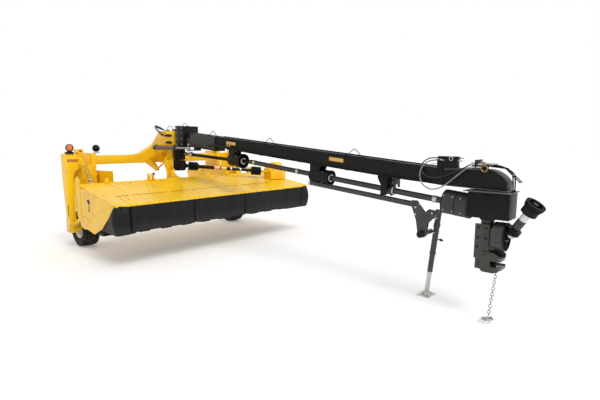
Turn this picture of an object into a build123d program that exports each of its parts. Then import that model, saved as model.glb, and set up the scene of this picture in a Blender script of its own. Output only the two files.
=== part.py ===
from build123d import *
import os
from math import atan2, cos, degrees, pi, radians, sin, sqrt, tan

# Disc mower conditioner, towed, in millimetres. +X is the machine's left side, +Y its rear,
# Z = 0 the ground. The header is raised for the road, and the tongue stands on its jack.
os.makedirs("parts", exist_ok=True)

# ---- Overall reach, and stations along the machine ------------------------------------------
front_reach = 8417  # wheel axle to the foremost point
rear_reach = 1580  # wheel axle to the rearmost point
axle_y = (front_reach - rear_reach) / 2


def ahead(distance):
    """Station that many millimetres ahead of the wheel axle (negative is behind it)."""
    return axle_y - distance


def nose(distance):
    """Station that many millimetres behind the foremost point."""
    return ahead(front_reach) + distance


# ---- Fits and clearances --------------------------------------------------------------------
pin_play = 0.3  # a pin in its bore
side_gap = 5  # beside a moving eye or link
panel_gap = 8  # between neighbouring covers

# ---- Across the machine, from the centre line outwards --------------------------------------
header_half_width = 2449
end_plate_inner = header_half_width - 159
arm_thickness = 50
arm_x = end_plate_inner - 40
leg_inner = arm_x - 40
tyre_width = 343
tyre_leg_gap = 16.5
wheel_x = leg_inner - tyre_leg_gap - tyre_width / 2
spring_x = leg_inner - 110
cylinder_x = leg_inner - 230
post_inner = cylinder_x - 335
shield_x = post_inner - 55  # crop side walls behind the header
roll_plate_x = shield_x - 80
roll_length = 2 * (roll_plate_x - 20)
cover_start_x = 267 - header_half_width
cover_pitch = (2 * header_half_width - 267 - 737) / 3
disc_count = 10
disc_pitch = 2 * (end_plate_inner - 175) / (disc_count - 1)

# ---- Wheels ---------------------------------------------------------------------------------
tyre_radius = 393.5
rim_radius = 195
rim_width = 260
axle_z = tyre_radius
spindle_radius = 35

# ---- Trail frame ----------------------------------------------------------------------------
leg_outer = leg_inner + 140
leg_front_y = ahead(50)
frame_top_z = 2000
beam_front_y = ahead(-200)
beam_depth = 200
beam_bottom_z = 1747
beam_height = 200
post_width = 105
post_front_y = ahead(-150)
post_rear_y = ahead(-700)
post_bottom_z = 1050
shield_wall = 8
shield_hinge_y = ahead(-730)
shield_pin_radius = 10
spring_top = (ahead(330), 1810)
spring_bottom = (ahead(690), 1410)
spring_radius = 42

# ---- Tongue pivot ---------------------------------------------------------------------------
pivot_y = ahead(600)
kingpin_radius = 45
tower_half_width = 200
tower_top_z = 2510
tower_nose_bottom_z = 2180
tower_waist_z = 2060
fork_thickness = 35
swing_z = 2120  # height of the swing cylinder
swing_base = (-430, ahead(215), swing_z)
swing_eye = (-335, ahead(1510), swing_z)
swing_barrel_radius = 42
swing_eye_half = 35
swing_rod_radius = 22

# ---- Tongue ---------------------------------------------------------------------------------
tongue_half_width = 110
tongue_height = 225
tongue_top_z = 2572  # of the top edge, carried back to the axle
tongue_front_z = 1924  # of the top edge at its front end
tongue_front_y = nose(1217)
tongue_fall = (tongue_top_z - tongue_front_z) / (axle_y - tongue_front_y)  # per millimetre
rear_box_half_width = 130
rear_box_height = 310
rear_box_front_y = ahead(2190)
block_rear_y = ahead(780)
block_front_y = ahead(1100)
shaft_radius = 45
shaft_rear = (0, ahead(3170), 1870)
shaft_front = (0, nose(1237), 1478)

# ---- Jack -----------------------------------------------------------------------------------
jack_foot = (230, nose(1547), 0)
jack_head = (230, nose(1407), 1290)
jack_outer_radius = 42
jack_inner_radius = 34
jack_bottom_gap = 640  # foot to the lower end of the outer tube, along the jack

# ---- Hitch ----------------------------------------------------------------------------------
guard_radius = 165  # round guard at the front of the drive
hitch_y = nose(647)
hitch_bore_radius = 16
swivel_radius = 45
clevis_z = 740

# ---- Lift linkage: a parallelogram of two lower arms and one top link ------------------------
arm_run = 470
arm_rise = 230
arm_length = sqrt(arm_run**2 + arm_rise**2)
arm_pin_radius = 15
arm_base = (ahead(95), 520)  # frame end, as (y, z)
link_base = (ahead(150), 1600)
link_x = -350
cylinder_base = (ahead(100), 1640)
cylinder_tip = (ahead(640), 1060)
cylinder_barrel_radius = 40
cylinder_rod_radius = 20
cylinder_lug_gap = cylinder_barrel_radius + side_gap
cylinder_lug_inner = cylinder_x + 28  # inner face of the header's lugs

# ---- Header ---------------------------------------------------------------------------------
lip_y = ahead(2504)
lip_z = 1188
deck_slope = 0.15
deck_thickness = 6
cover_hinge_y = ahead(1950)
deck_rear_y = ahead(920)
curtain_bottom_z = 731
curtain_thickness = 6
end_plate_thickness = 10
bar_y = ahead(1750)
bar_half_depth = 200
bar_top_z = 615
joint_ball_radius = 30
disc_radius = 205
disc_narrow_radius = 160
disc_y = ahead(1800)
disc_z = (bar_top_z + 27, bar_top_z + 52)
knife_reach = 285
knife_width = 50
roll_radius = 115
roll_y = ahead(1150)
lower_roll_z = 850
upper_roll_z = 1100
tube_rear_y = ahead(800)
tube_size = 150
tube_bottom_z = 1195


def deck_z(y):
    """Height of the deck's top surface at a station."""
    return lip_z + deck_slope * (y - lip_y)


def beam_top(y):
    """Height of the tongue's top edge at a station."""
    return tongue_top_z + tongue_fall * (y - axle_y)


# ---- Shapes used throughout -----------------------------------------------------------------
def block(x, y, z, mode=Mode.ADD):
    """Add a box that spans two values on each axis."""
    with Locations(((x[0] + x[1]) / 2, (y[0] + y[1]) / 2, (z[0] + z[1]) / 2)):
        Box(abs(x[1] - x[0]), abs(y[1] - y[0]), abs(z[1] - z[0]), mode=mode)


def plate(plane, points, thickness, mode=Mode.ADD):
    """Add a flat plate: a closed outline on a plane, given a thickness along its normal."""
    with BuildSketch(plane) as outline:
        with BuildLine():
            Polyline(*points, close=True)
        make_face()
    extrude(outline.sketch, amount=thickness, mode=mode)


def side_plate(x, points, mode=Mode.ADD):
    """Add a plate in the (y, z) plane that spans two x values."""
    plate(Plane.YZ.offset(min(x)), points, abs(x[1] - x[0]), mode)


def bar(start, end, radius, mode=Mode.ADD):
    """Add a round bar from one point to another."""
    along = Vector(*end) - Vector(*start)
    with Locations(Plane(origin=start, z_dir=along)):
        Cylinder(radius, along.length, align=(Align.CENTER, Align.CENTER, Align.MIN), mode=mode)


def cross_bar(x, y, z, radius, mode=Mode.ADD):
    """Add a round bar along X that spans two x values."""
    bar((min(x), y, z), (max(x), y, z), radius, mode)


def upright(x, y, z, radius, mode=Mode.ADD):
    """Add a round bar along Z that spans two z values."""
    bar((x, y, min(z)), (x, y, max(z)), radius, mode)


def part_way(start, end, distance):
    """The point that lies a distance from start, towards end."""
    along = (Vector(*end) - Vector(*start)).normalized()
    return tuple(Vector(*start) + along * distance)


def spring_seat(end, along, across):
    """A (y, z) point beside a float spring's end, measured along and across the spring."""
    run = Vector(spring_bottom[0] - spring_top[0], spring_bottom[1] - spring_top[1]).normalized()
    return (end[0] + run.X * along - run.Y * across, end[1] + run.Y * along + run.X * across)


def save(builder, name):
    """Label a finished piece and write it under its own name."""
    builder.part.label = name
    export_step(builder.part, f"parts/{name}.step")


# ---- Wheels ---------------------------------------------------------------------------------
tyre_shoulder = (tyre_width / 2 - 22, tyre_radius - 19)
tyre_bead = (rim_width / 2, rim_radius)
for side, name in ((1, "left"), (-1, "right")):
    hub = (side * wheel_x, axle_y, axle_z)
    section_plane = Plane(origin=hub, x_dir=(side, 0, 0), z_dir=(0, -side, 0))
    with BuildPart() as tyre:
        with BuildSketch(section_plane):
            with BuildLine():
                ThreePointArc((-tyre_shoulder[0], tyre_shoulder[1]), (0, tyre_radius), tyre_shoulder)
                ThreePointArc(tyre_shoulder, (tyre_width / 2, 290), tyre_bead)
                Line(tyre_bead, (-tyre_bead[0], tyre_bead[1]))
                ThreePointArc((-tyre_bead[0], tyre_bead[1]), (-tyre_width / 2, 290),
                              (-tyre_shoulder[0], tyre_shoulder[1]))
            make_face()
        revolve(axis=Axis(hub, (1, 0, 0)))
    save(tyre, f"{name}_tyre")
    with BuildPart() as rim:
        with BuildSketch(section_plane):
            with BuildLine():
                Polyline((-rim_width / 2, rim_radius), (rim_width / 2, rim_radius),
                         (rim_width / 2, rim_radius - 10), (70, rim_radius - 18), (45, 80),
                         (60, 55), (60, spindle_radius + pin_play), (-60, spindle_radius + pin_play),
                         (-60, 55), (30, 80), (55, rim_radius - 28), (-rim_width / 2, rim_radius - 10),
                         close=True)
            make_face()
        revolve(axis=Axis(hub, (1, 0, 0)))
    save(rim, f"{name}_rim")

# ---- Trail frame: crossbeam, posts, tower and legs ------------------------------------------
beam_rear_y = beam_front_y + beam_depth
beam_top_z = beam_bottom_z + beam_height
with BuildPart() as crossbeam:
    block((-leg_outer + 10, leg_outer - 10), (beam_front_y, beam_rear_y), (beam_bottom_z, beam_top_z))
    for side in (-1, 1):
        block((side * post_inner, side * (post_inner + post_width)), (post_front_y, post_rear_y),
              (post_bottom_z, frame_top_z))
        cross_bar((side * (post_inner - 5), side * (post_inner + post_width + 5)),
                  post_front_y + 45, beam_bottom_z - 130, 26, Mode.SUBTRACT)
        side_plate((side * shield_x, side * (shield_x + shield_wall)), [
            (ahead(550), 1080), (ahead(550), 1635), (ahead(-690), 1600), (ahead(-690), 950),
            (ahead(-100), 920)])
        for z in (1120, 1520):
            block((side * (shield_x + shield_wall), side * post_inner),
                  (post_front_y + 60, post_rear_y - 60), (z, z + 40))
        for z in (1060, 1500):
            block((side * (post_inner - 33), side * (post_inner + 20)),
                  (post_rear_y - 10, shield_hinge_y + 20),
                  (z, z + 20))
        upright(side * (post_inner - 15), shield_hinge_y, (1040, 1540), shield_pin_radius)
    for inner in (link_x - 40, link_x + 27):
        side_plate((inner, inner + 13), [
            (beam_rear_y - 40, beam_bottom_z), (beam_front_y, beam_top_z - 40),
            (beam_front_y - 40, beam_top_z - 60), (link_base[0] - 25, link_base[1] + 45),
            (link_base[0] - 45, link_base[1]), (link_base[0], link_base[1] - 40),
            (link_base[0] + 60, link_base[1] - 10)])
    cross_bar((link_x - 50, link_x + 50), link_base[0], link_base[1], arm_pin_radius)
save(crossbeam, "crossbeam")

tower_rear_top_y = ahead(60)
tower_nose_y = ahead(680)
tower_flare = 760
with BuildPart() as pivot_tower:
    side_plate((-tower_half_width, tower_half_width), [
        (ahead(-350), tower_nose_bottom_z), (tower_rear_top_y, tower_top_z),
        (tower_nose_y, tower_top_z), (tower_nose_y, tower_nose_bottom_z)])
    block((-90, 90), (ahead(450), ahead(-350)), (tower_waist_z, tower_nose_bottom_z))
    block((-tower_half_width, tower_half_width), (ahead(150), beam_front_y),
          (beam_bottom_z + 10, tower_waist_z))
    block((-110, 110), (ahead(430), ahead(150)), (beam_bottom_z + 10, tower_waist_z))
    with BuildSketch(Plane.XZ.offset(-beam_rear_y)) as flare:
        with BuildLine():
            Line((-tower_flare, beam_top_z), (tower_flare, beam_top_z))
            TangentArc((tower_flare, beam_top_z), (390, beam_top_z + 120), tangent=(-1, 0))
            Line((390, beam_top_z + 120), (tower_half_width, tower_nose_bottom_z))
            Line((tower_half_width, tower_nose_bottom_z), (-tower_half_width, tower_nose_bottom_z))
            Line((-tower_half_width, tower_nose_bottom_z), (-390, beam_top_z + 120))
            TangentArc((-tower_flare, beam_top_z), (-390, beam_top_z + 120), tangent=(1, 0))
        make_face()
    extrude(flare.sketch, amount=beam_depth)
    for low, high in ((tower_waist_z - 36, tower_waist_z - 14),
                      (tower_nose_bottom_z, tower_nose_bottom_z + 22)):
        plate(Plane.XY.offset(low), [
            (swing_base[0] - 38, swing_base[1] - 45), (swing_base[0] - 38, swing_base[1] + 40),
            (-150, swing_base[1] + 130), (-150, swing_base[1] - 90)], high - low)
    upright(swing_base[0], swing_base[1], (tower_waist_z - 36, tower_nose_bottom_z + 22), 18)
    upright(0, pivot_y, (tower_nose_bottom_z - 10, tower_top_z + 10), kingpin_radius + pin_play,
            Mode.SUBTRACT)
save(pivot_tower, "pivot_tower")

arm_ear = 45
gusset_x = leg_inner - 180
for side, name in ((1, "left"), (-1, "right")):
    with BuildPart() as leg:
        side_plate((side * leg_inner, side * leg_outer), [
            (leg_front_y, 600), (leg_front_y, frame_top_z), (beam_front_y, frame_top_z),
            (beam_front_y, 1500), (ahead(-120), 620), (ahead(-120), 600)])
        with BuildSketch(Plane.XZ.offset(-beam_front_y)) as gusset:
            with BuildLine():
                Line((side * leg_outer, 1500), (side * leg_outer, frame_top_z))
                Line((side * leg_outer, frame_top_z), (side * gusset_x, frame_top_z))
                Line((side * gusset_x, frame_top_z), (side * gusset_x, 1700))
                ThreePointArc((side * gusset_x, 1700), (side * (gusset_x + 120), 1640),
                              (side * leg_inner, 1500))
                Line((side * leg_inner, 1500), (side * leg_outer, 1500))
            make_face()
        extrude(gusset.sketch, amount=beam_front_y - leg_front_y)
        block((side * leg_inner, side * leg_outer), (leg_front_y, ahead(-150)), (330, 620))
        for low, high in ((arm_x - 44, arm_x - 31), (arm_x + 31, arm_x + 50)):
            side_plate((side * low, side * high), [
                (leg_front_y + 20, arm_base[1] - arm_ear), (arm_base[0], arm_base[1] - arm_ear),
                (arm_base[0] - 32, arm_base[1] - 32), (arm_base[0] - arm_ear, arm_base[1]),
                (arm_base[0] - 32, arm_base[1] + 32), (arm_base[0], arm_base[1] + arm_ear),
                (leg_front_y + 20, arm_base[1] + arm_ear)])
        cross_bar((side * (arm_x - 44), side * (arm_x + 56)), arm_base[0], arm_base[1], arm_pin_radius)
        cross_bar((side * leg_inner, side * (wheel_x - 75)), axle_y, axle_z, spindle_radius)
        cross_bar((side * leg_inner, side * (wheel_x + 75)), axle_y, axle_z, 60)
        cross_bar((side * (wheel_x - 75), side * (wheel_x - 95)), axle_y, axle_z, 48)
        side_plate((side * (cylinder_x + cylinder_lug_gap), side * (cylinder_x + 80)), [
            (leg_front_y + 5, 1700), (leg_front_y + 5, 1900), (leg_front_y, 1900),
            (cylinder_base[0] - 40, cylinder_base[1] + 30), (cylinder_base[0] - 40, cylinder_base[1] - 30),
            (cylinder_base[0] + 30, cylinder_base[1] - 40), (beam_front_y, 1760), (beam_front_y, 1900)])
        cross_bar((side * (cylinder_x - 26), side * (cylinder_x + 80)), cylinder_base[0], cylinder_base[1],
                  arm_pin_radius)
        side_plate((side * (spring_x - 6), side * (spring_x + 6)), [
            (leg_front_y + 5, 1760), (leg_front_y + 5, 1930), (spring_top[0] + 20, spring_top[1] + 50),
            spring_seat(spring_top, 0, -25), spring_seat(spring_top, 0, 25)])
    save(leg, f"{name}_leg")

with BuildPart() as marker_lamps:
    for side in (-1, 1):
        for x, y, z in ((leg_outer - 50, ahead(40), frame_top_z),
                        (post_inner + 55, ahead(-180), frame_top_z)):
            block((side * (x - 45), side * (x + 45)), (y - 30, y + 50), (z, z + 30))
            with Locations((side * x, y + 10, z + 30 + 60)):
                Cylinder(68, 60, rotation=(90, 0, 0))
save(marker_lamps, "marker_lamps")

# ---- Gearboxes at the pivot -----------------------------------------------------------------
lower_box_z = (1580, 1815)
drive_start = (200, ahead(650), 1680)
gearbox_x = end_plate_inner - 180
drive_end = (gearbox_x - 370, ahead(1540), 1520)
drive_axis = (Vector(*drive_end) - Vector(*drive_start)).normalized()
drive_tube_radius = 42
drive_tube_bore = 34
with BuildPart() as swivel_gearbox:
    upright(0, pivot_y, lower_box_z, 128)
    block((-80, 80), (pivot_y + 90, ahead(430)), (lower_box_z[0] + 30, lower_box_z[1] - 10))
    bar((0, pivot_y, 1700), tuple(Vector(*drive_start) - drive_axis * 30), 52)
    bar((0, pivot_y, 1700), drive_start, 18)
    with Locations(drive_start):
        Sphere(joint_ball_radius)
save(swivel_gearbox, "swivel_gearbox")

upper_box_z = (lower_box_z[1] + 12, swing_z + 15)
with BuildPart() as upper_gearbox:
    upright(0, pivot_y, upper_box_z, 118)
    bar((0, pivot_y, 1985), (0, ahead(800), 1980), 60)
save(upper_gearbox, "upper_gearbox")

# ---- Tongue ---------------------------------------------------------------------------------
head_top_z = 1940
head_end_y = nose(417)
head_end_z = 1675
head_rear_y = tongue_front_y + 20


def head_bottom(y):
    """Height of the underside of the tongue's head at a station."""
    share = (y - head_rear_y) / (head_end_y - head_rear_y)
    start = beam_top(head_rear_y) - tongue_height
    return start + share * (head_end_z - start)


with BuildPart() as tongue_beam:
    upright(0, pivot_y, (swing_z + 15, swing_z + 50), 118)
    block((-115, 115), (block_rear_y, pivot_y), (swing_z + 15, swing_z + 50))
    upright(0, pivot_y, (tower_top_z + side_gap, tower_top_z + 40), 150)
    block((-150, 150), (block_rear_y, pivot_y), (tower_top_z + side_gap, tower_top_z + 40))
    upright(0, pivot_y, (swing_z + 20, tower_top_z + 80), kingpin_radius)
    block((-tower_half_width, tower_half_width), (block_front_y, block_rear_y),
          (swing_z + 15, tower_top_z + 100))
    side_plate((-rear_box_half_width, rear_box_half_width), [
        (block_front_y + 20, beam_top(block_front_y)), (rear_box_front_y, beam_top(rear_box_front_y)),
        (rear_box_front_y, beam_top(rear_box_front_y) - rear_box_height),
        (block_front_y + 20, beam_top(block_front_y) - rear_box_height)])
    side_plate((-tongue_half_width, tongue_half_width), [
        (rear_box_front_y + 50, beam_top(rear_box_front_y + 50)),
        (tongue_front_y, beam_top(tongue_front_y)),
        (tongue_front_y, beam_top(tongue_front_y) - tongue_height),
        (rear_box_front_y + 50, beam_top(rear_box_front_y + 50) - tongue_height)])
    with BuildSketch(Plane.YZ.offset(-tongue_half_width)) as head:
        with BuildLine():
            Line((head_rear_y, beam_top(head_rear_y)), (nose(967), head_top_z))
            Line((nose(967), head_top_z), (nose(697), head_top_z))
            ThreePointArc((nose(697), head_top_z), (nose(517), 1890), (head_end_y, 1790))
            Line((head_end_y, 1790), (head_end_y, head_end_z))
            Line((head_end_y, head_end_z), (head_rear_y, head_bottom(head_rear_y)))
            Line((head_rear_y, head_bottom(head_rear_y)), (head_rear_y, beam_top(head_rear_y)))
        make_face()
    extrude(head.sketch, amount=2 * tongue_half_width)
    lug_z = (swing_z - 20 - swing_eye_half, swing_z - swing_eye_half - pin_play)
    plate(Plane.XY.offset(lug_z[0]), [
        (swing_eye[0] - 35, swing_eye[1] - 50), (swing_eye[0] - 35, swing_eye[1] + 50),
        (-90, swing_eye[1] + 110), (-90, swing_eye[1] - 110)], lug_z[1] - lug_z[0])
    block((-rear_box_half_width, -90), (swing_eye[1] - 110, swing_eye[1] + 110), (lug_z[0], 2200))
save(tongue_beam, "tongue_beam")

# Two hangers with round guards, and a plain plate hanger, carry the drive under the beam.
hanger_table = (  # station ahead of the axle, guard radius, guard length
    (2560, 118, 240),
    (4790, 112, 250),
)


def shaft_z(y):
    """Height of the long shaft's axis at a station."""
    share = (y - shaft_rear[1]) / (shaft_front[1] - shaft_rear[1])
    return shaft_rear[2] + share * (shaft_front[2] - shaft_rear[2])


def hanger_post(y, depth, half_width, low_z):
    """Add a plate that hangs from the tongue's sloping underside."""
    side_plate((-half_width, half_width), [
        (y - depth, low_z), (y - depth, beam_top(y - depth) - tongue_height),
        (y, beam_top(y) - tongue_height), (y, low_z)])


rear_shaft_start = (0, ahead(830), 1979)
rear_shaft_end = (0, ahead(2560), 1890)
with BuildPart() as driveline_hangers:
    bar(rear_shaft_start, rear_shaft_end, 35)
    for distance, radius, length in hanger_table:
        y = ahead(distance)
        z = shaft_z(y) if distance > 3000 else rear_shaft_end[2]
        ahead_z = shaft_z(y - length)
        bar((0, y, z), (0, y - length, ahead_z), radius)
        bar((0, y - 60, z), (0, y - length - 20, ahead_z), radius - 14, Mode.SUBTRACT)
        hanger_post(y, 50, 70, z + radius - 30)
    hanger_post(ahead(6370), 20, 60, shaft_z(ahead(6370)) - 75)
    bar(shaft_rear, shaft_front, shaft_radius + pin_play, Mode.SUBTRACT)
    bar((0, ahead(2620), rear_shaft_end[2]), (0, ahead(3165), 1872), 40)
save(driveline_hangers, "driveline_hangers")

with BuildPart() as main_driveshaft:
    bar(shaft_rear, shaft_front, shaft_radius)
save(main_driveshaft, "main_driveshaft")

# ---- Jack -----------------------------------------------------------------------------------
jack_axis = (Vector(*jack_head) - Vector(*jack_foot)).normalized()
jack_mouth = tuple(Vector(*jack_foot) + jack_axis * jack_bottom_gap)
stay_x = -60
stay_radius = 42
stay_rear = (stay_x, ahead(4800), shaft_z(ahead(4800)) - 140)
stay_front = (stay_x, nose(1617), shaft_z(nose(1617)) - 125)
carrier_y = nose(1512)
carrier_z = 985
with BuildPart() as jack_stand:
    bar(stay_rear, stay_front, stay_radius)
    bar((0, ahead(4700), shaft_z(ahead(4700))), (0, ahead(5060), shaft_z(ahead(5060))),
        hanger_table[1][1] + pin_play, Mode.SUBTRACT)
    for inner in (stay_x - 30, stay_x + 18):
        side_plate((inner, inner + 12), [
            (nose(1697), 1450), (nose(1617), 1450), (nose(1482), 1290), (nose(1337), 1430),
            (nose(1222), 1425), (nose(1222), 1370), (nose(1432), 1150), (nose(1457), 960),
            (nose(1487), 935), (nose(1537), 935), (nose(1567), 960), (nose(1607), 1180),
            (nose(1677), 1360)])
    cross_bar((stay_x - 65, jack_foot[0] - 20), carrier_y, carrier_z, 36)
    bar(jack_mouth, jack_head, jack_outer_radius)
    bar(tuple(Vector(*jack_mouth) - jack_axis), tuple(Vector(*jack_head) - jack_axis * 25),
        jack_inner_radius + pin_play, Mode.SUBTRACT)
    bar((0, nose(1417), shaft_z(nose(1417))), (0, nose(857), shaft_z(nose(857))),
        guard_radius + pin_play, Mode.SUBTRACT)
save(jack_stand, "jack_stand")

foot_thickness = 10
with BuildPart() as jack_leg:
    bar(tuple(Vector(*jack_foot) + jack_axis * foot_thickness),
        tuple(Vector(*jack_mouth) + jack_axis * 250),
        jack_inner_radius)
    block((jack_foot[0] - 125, jack_foot[0] + 125), (jack_foot[1] - 100, jack_foot[1] + 100),
          (0, foot_thickness))
save(jack_leg, "jack_leg")

# ---- Front gearbox and hitch ----------------------------------------------------------------
box_bottom_z = 1325
with BuildPart() as front_gearbox:
    bar((0, nose(1227), shaft_z(nose(1227))), (0, nose(857), shaft_z(nose(857))), guard_radius)
    block((-150, 150), (nose(357), nose(867)), (box_bottom_z, 1650))
    upright(0, hitch_y, (1225, box_bottom_z + 10), swivel_radius)
    side_plate((-90, 90), [(nose(797), 1640), (nose(437), 1640), (nose(437), head_bottom(nose(437))),
                           (nose(797), head_bottom(nose(797)))])
save(front_gearbox, "front_gearbox")

hitch_top_z = box_bottom_z - side_gap
pto_run = 300  # stored, the shaft leans this far forward
pto_rise = 455
pto_drift = -65
pto_ball_radius = 40
pto_tube_radius = 36
pto_cone_radius = 98
pto_bore_radius = 17.5
pto_length = sqrt(pto_run**2 + pto_rise**2 + pto_drift**2)
cone_reach = pto_cone_radius * sqrt(1 - (pto_run / pto_length)**2)
pto_pivot = (-30, ahead(front_reach) + cone_reach + pto_run, 1105)
pto_end = (pto_pivot[0] + pto_drift, pto_pivot[1] - pto_run, pto_pivot[2] + pto_rise)
with BuildPart() as hitch:
    upright(0, hitch_y, (1180, hitch_top_z), 80)
    block((-110, 110), (nose(517), nose(757)), (930, 1200))
    upright(0, hitch_y, (1220, hitch_top_z + 1), swivel_radius + pin_play, Mode.SUBTRACT)
    for side in (-1, 1):
        block((side * 110, side * 130), (nose(577), nose(757)), (800, 1250))
    block((-130, 130), (nose(567), nose(737)), (780, 815))
    block((-130, 130), (nose(567), nose(737)), (665, 700))
    block((-130, 130), (nose(697), nose(737)), (665, 815))
    upright(0, hitch_y - 20, (650, 830), hitch_bore_radius, Mode.SUBTRACT)
    bar((-28, nose(537), pto_pivot[2]), (-28, nose(407), pto_pivot[2]), 180)
    bar((-28, nose(512), pto_pivot[2]), (-28, nose(397), pto_pivot[2]), 172, Mode.SUBTRACT)
    bar((0, nose(527), 1075), (-28, pto_pivot[1] + 15, pto_pivot[2]), 60)
    with Locations(pto_pivot):
        Sphere(pto_ball_radius + pin_play, mode=Mode.SUBTRACT)
save(hitch, "hitch")

with BuildPart() as pto_shaft:
    with Locations(pto_pivot):
        Sphere(pto_ball_radius)
    bar(pto_pivot, pto_end, 30)
    bar(part_way(pto_pivot, pto_end, 100), pto_end, pto_tube_radius)
    bar(part_way(pto_pivot, pto_end, 75), part_way(pto_pivot, pto_end, 140), 82)
    bar(part_way(pto_pivot, pto_end, pto_length - 150), pto_end, pto_cone_radius)
    bar(part_way(pto_pivot, pto_end, pto_length - 135), part_way(pto_pivot, pto_end, pto_length + 5),
        pto_cone_radius - 10, Mode.SUBTRACT)
    bar(part_way(pto_pivot, pto_end, pto_length - 140), pto_end, pto_tube_radius)
    bar(part_way(pto_pivot, pto_end, pto_length - 85), part_way(pto_pivot, pto_end, pto_length + 5),
        pto_bore_radius, Mode.SUBTRACT)
save(pto_shaft, "pto_shaft")

rack_rear_y = nose(1317)
rack_front_y = nose(1047)
rack_x = (-105, -20)
fitting_plate_y = nose(777)
with BuildPart() as hose_rack:
    side_plate(rack_x, [
        (rack_rear_y, beam_top(rack_rear_y)), (rack_rear_y, 2090), (rack_front_y, 2090),
        (rack_front_y, head_top_z), (tongue_front_y + 20, beam_top(tongue_front_y + 20))])
    block((-100, 60), (nose(697), nose(857)), (head_top_z, 2000))
    block((-190, 60), (fitting_plate_y, fitting_plate_y + 12), (head_top_z + 5, 2060))
    for x in (-60, 20):
        bar((x, nose(717), 1985), (x, nose(457), 1960), 7)
        bar((x, nose(457), 1960), (x, nose(277), 1790), 7)
        with Locations((x, nose(457), 1960)):
            Sphere(7)
save(hose_rack, "hose_rack")

# The two free hoses at the tongue's head, as (x, y, z) route points.
hose_radius = 9
hose_routes = (
    ("hose_low", [(-85, 7100, 2035), (-85, 7005, 2035), (-120, 6925, 1990), (-172, 6885, 1895),
                  (-185, 6890, 1785), (-185, 6945, 1690), (-185, 7050, 1640), (-185, 7170, 1660),
                  (-183, 7285, 1735), (-178, 7390, 1835), (-172, 7480, 1915), (-165, 7545, 1965),
                  (-165, 7628, 1965)]),
    ("hose_high", [(-45, 7100, 2068), (-45, 7010, 2068), (-85, 6935, 2045), (-125, 6885, 1985),
                   (-138, 6885, 1895), (-138, 6945, 1822), (-136, 7040, 1795), (-134, 7160, 1810),
                   (-132, 7285, 1850), (-131, 7400, 1905), (-130, 7500, 1962), (-130, 7556, 1998),
                   (-130, 7628, 1998)]),
)


def cord_radii(points):
    """The bend radius at each inner point of a cord's route."""
    radii = []
    for before, here, after in zip(points, points[1:], points[2:]):
        into, out = here - before, after - here
        turn = radians(into.get_angle(out))
        radii.append(0.45 * min(into.length, out.length) / tan(turn / 2))
    return radii


for name, stations in hose_routes:
    route = [Vector(x, ahead(distance), z) for x, distance, z in stations]
    radii = cord_radii(route)
    with BuildPart() as hose:
        with BuildLine() as path:
            FilletPolyline(*route, radius=radii)
        with BuildSketch(Plane(origin=route[0], z_dir=route[1] - route[0])):
            Circle(hose_radius)
        sweep()
    length = sum(edge.length for edge in path.edges())
    swept = pi * hose_radius**2 * length
    print(name, "length", round(length), "radii", [round(radius) for radius in radii],
          "volume share", round(hose.part.volume / swept, 4))
    save(hose, name)

chain_top = (-60, hitch_y - 20, 655)
chain_clearance = 28  # of its hook above the ground
chain_bottom = (-165, hitch_y - 20, chain_clearance + 37)
with BuildPart() as safety_chain:
    bar(chain_top, chain_bottom, 11)
    with Locations((chain_bottom[0] - 10, chain_bottom[1], chain_clearance + 20)):
        Cylinder(55, 40)
    bar((-60, hitch_y - 20, 640), (-60, hitch_y - 20, 664.7), 16)
save(safety_chain, "safety_chain")

# ---- Swing cylinder --------------------------------------------------------------------------
with BuildPart() as swing_barrel:
    bar(part_way(swing_base, swing_eye, 20), part_way(swing_base, swing_eye, 860), swing_barrel_radius)
    upright(swing_base[0], swing_base[1], (swing_z - 40, swing_z + 40), 40)
    upright(swing_base[0], swing_base[1], (swing_z - 45, swing_z + 45), 18 + pin_play, Mode.SUBTRACT)
    bar(part_way(swing_base, swing_eye, 200), part_way(swing_base, swing_eye, 870),
        swing_rod_radius + pin_play, Mode.SUBTRACT)
save(swing_barrel, "swing_barrel")
with BuildPart() as swing_rod:
    bar(part_way(swing_base, swing_eye, 520), swing_eye, swing_rod_radius)
    upright(swing_eye[0], swing_eye[1], (swing_z - swing_eye_half, swing_z + swing_eye_half), 38)
save(swing_rod, "swing_rod")

# ---- Lift linkage ----------------------------------------------------------------------------
arm_tip = (arm_base[0] - arm_run, arm_base[1] + arm_rise)
link_tip = (link_base[0] - arm_run, link_base[1] + arm_rise)
with BuildPart() as lower_arms:
    for side in (-1, 1):
        x = (side * (arm_x - arm_thickness / 2), side * (arm_x + arm_thickness / 2))
        run, rise = arm_run / arm_length, arm_rise / arm_length
        side_plate(x, [
            (arm_base[0] - 32 * rise, arm_base[1] - 32 * run),
            (arm_base[0] + 32 * rise, arm_base[1] + 32 * run),
            (arm_tip[0] + 32 * rise, arm_tip[1] + 32 * run),
            (arm_tip[0] - 32 * rise, arm_tip[1] - 32 * run)])
        for y, z in (arm_base, arm_tip):
            cross_bar(x, y, z, 36)
        for y, z in (arm_base, arm_tip):
            cross_bar((x[0] - side, x[1] + side), y, z, arm_pin_radius + pin_play, Mode.SUBTRACT)
save(lower_arms, "lower_arms")

with BuildPart() as top_link:
    bar((link_x, link_base[0], link_base[1]), (link_x, link_tip[0], link_tip[1]), 22)
    for y, z in (link_base, link_tip):
        cross_bar((link_x - 20, link_x + 20), y, z, 34)
    for y, z in (link_base, link_tip):
        cross_bar((link_x - 30, link_x + 30), y, z, arm_pin_radius + pin_play, Mode.SUBTRACT)
save(top_link, "top_link")

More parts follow.
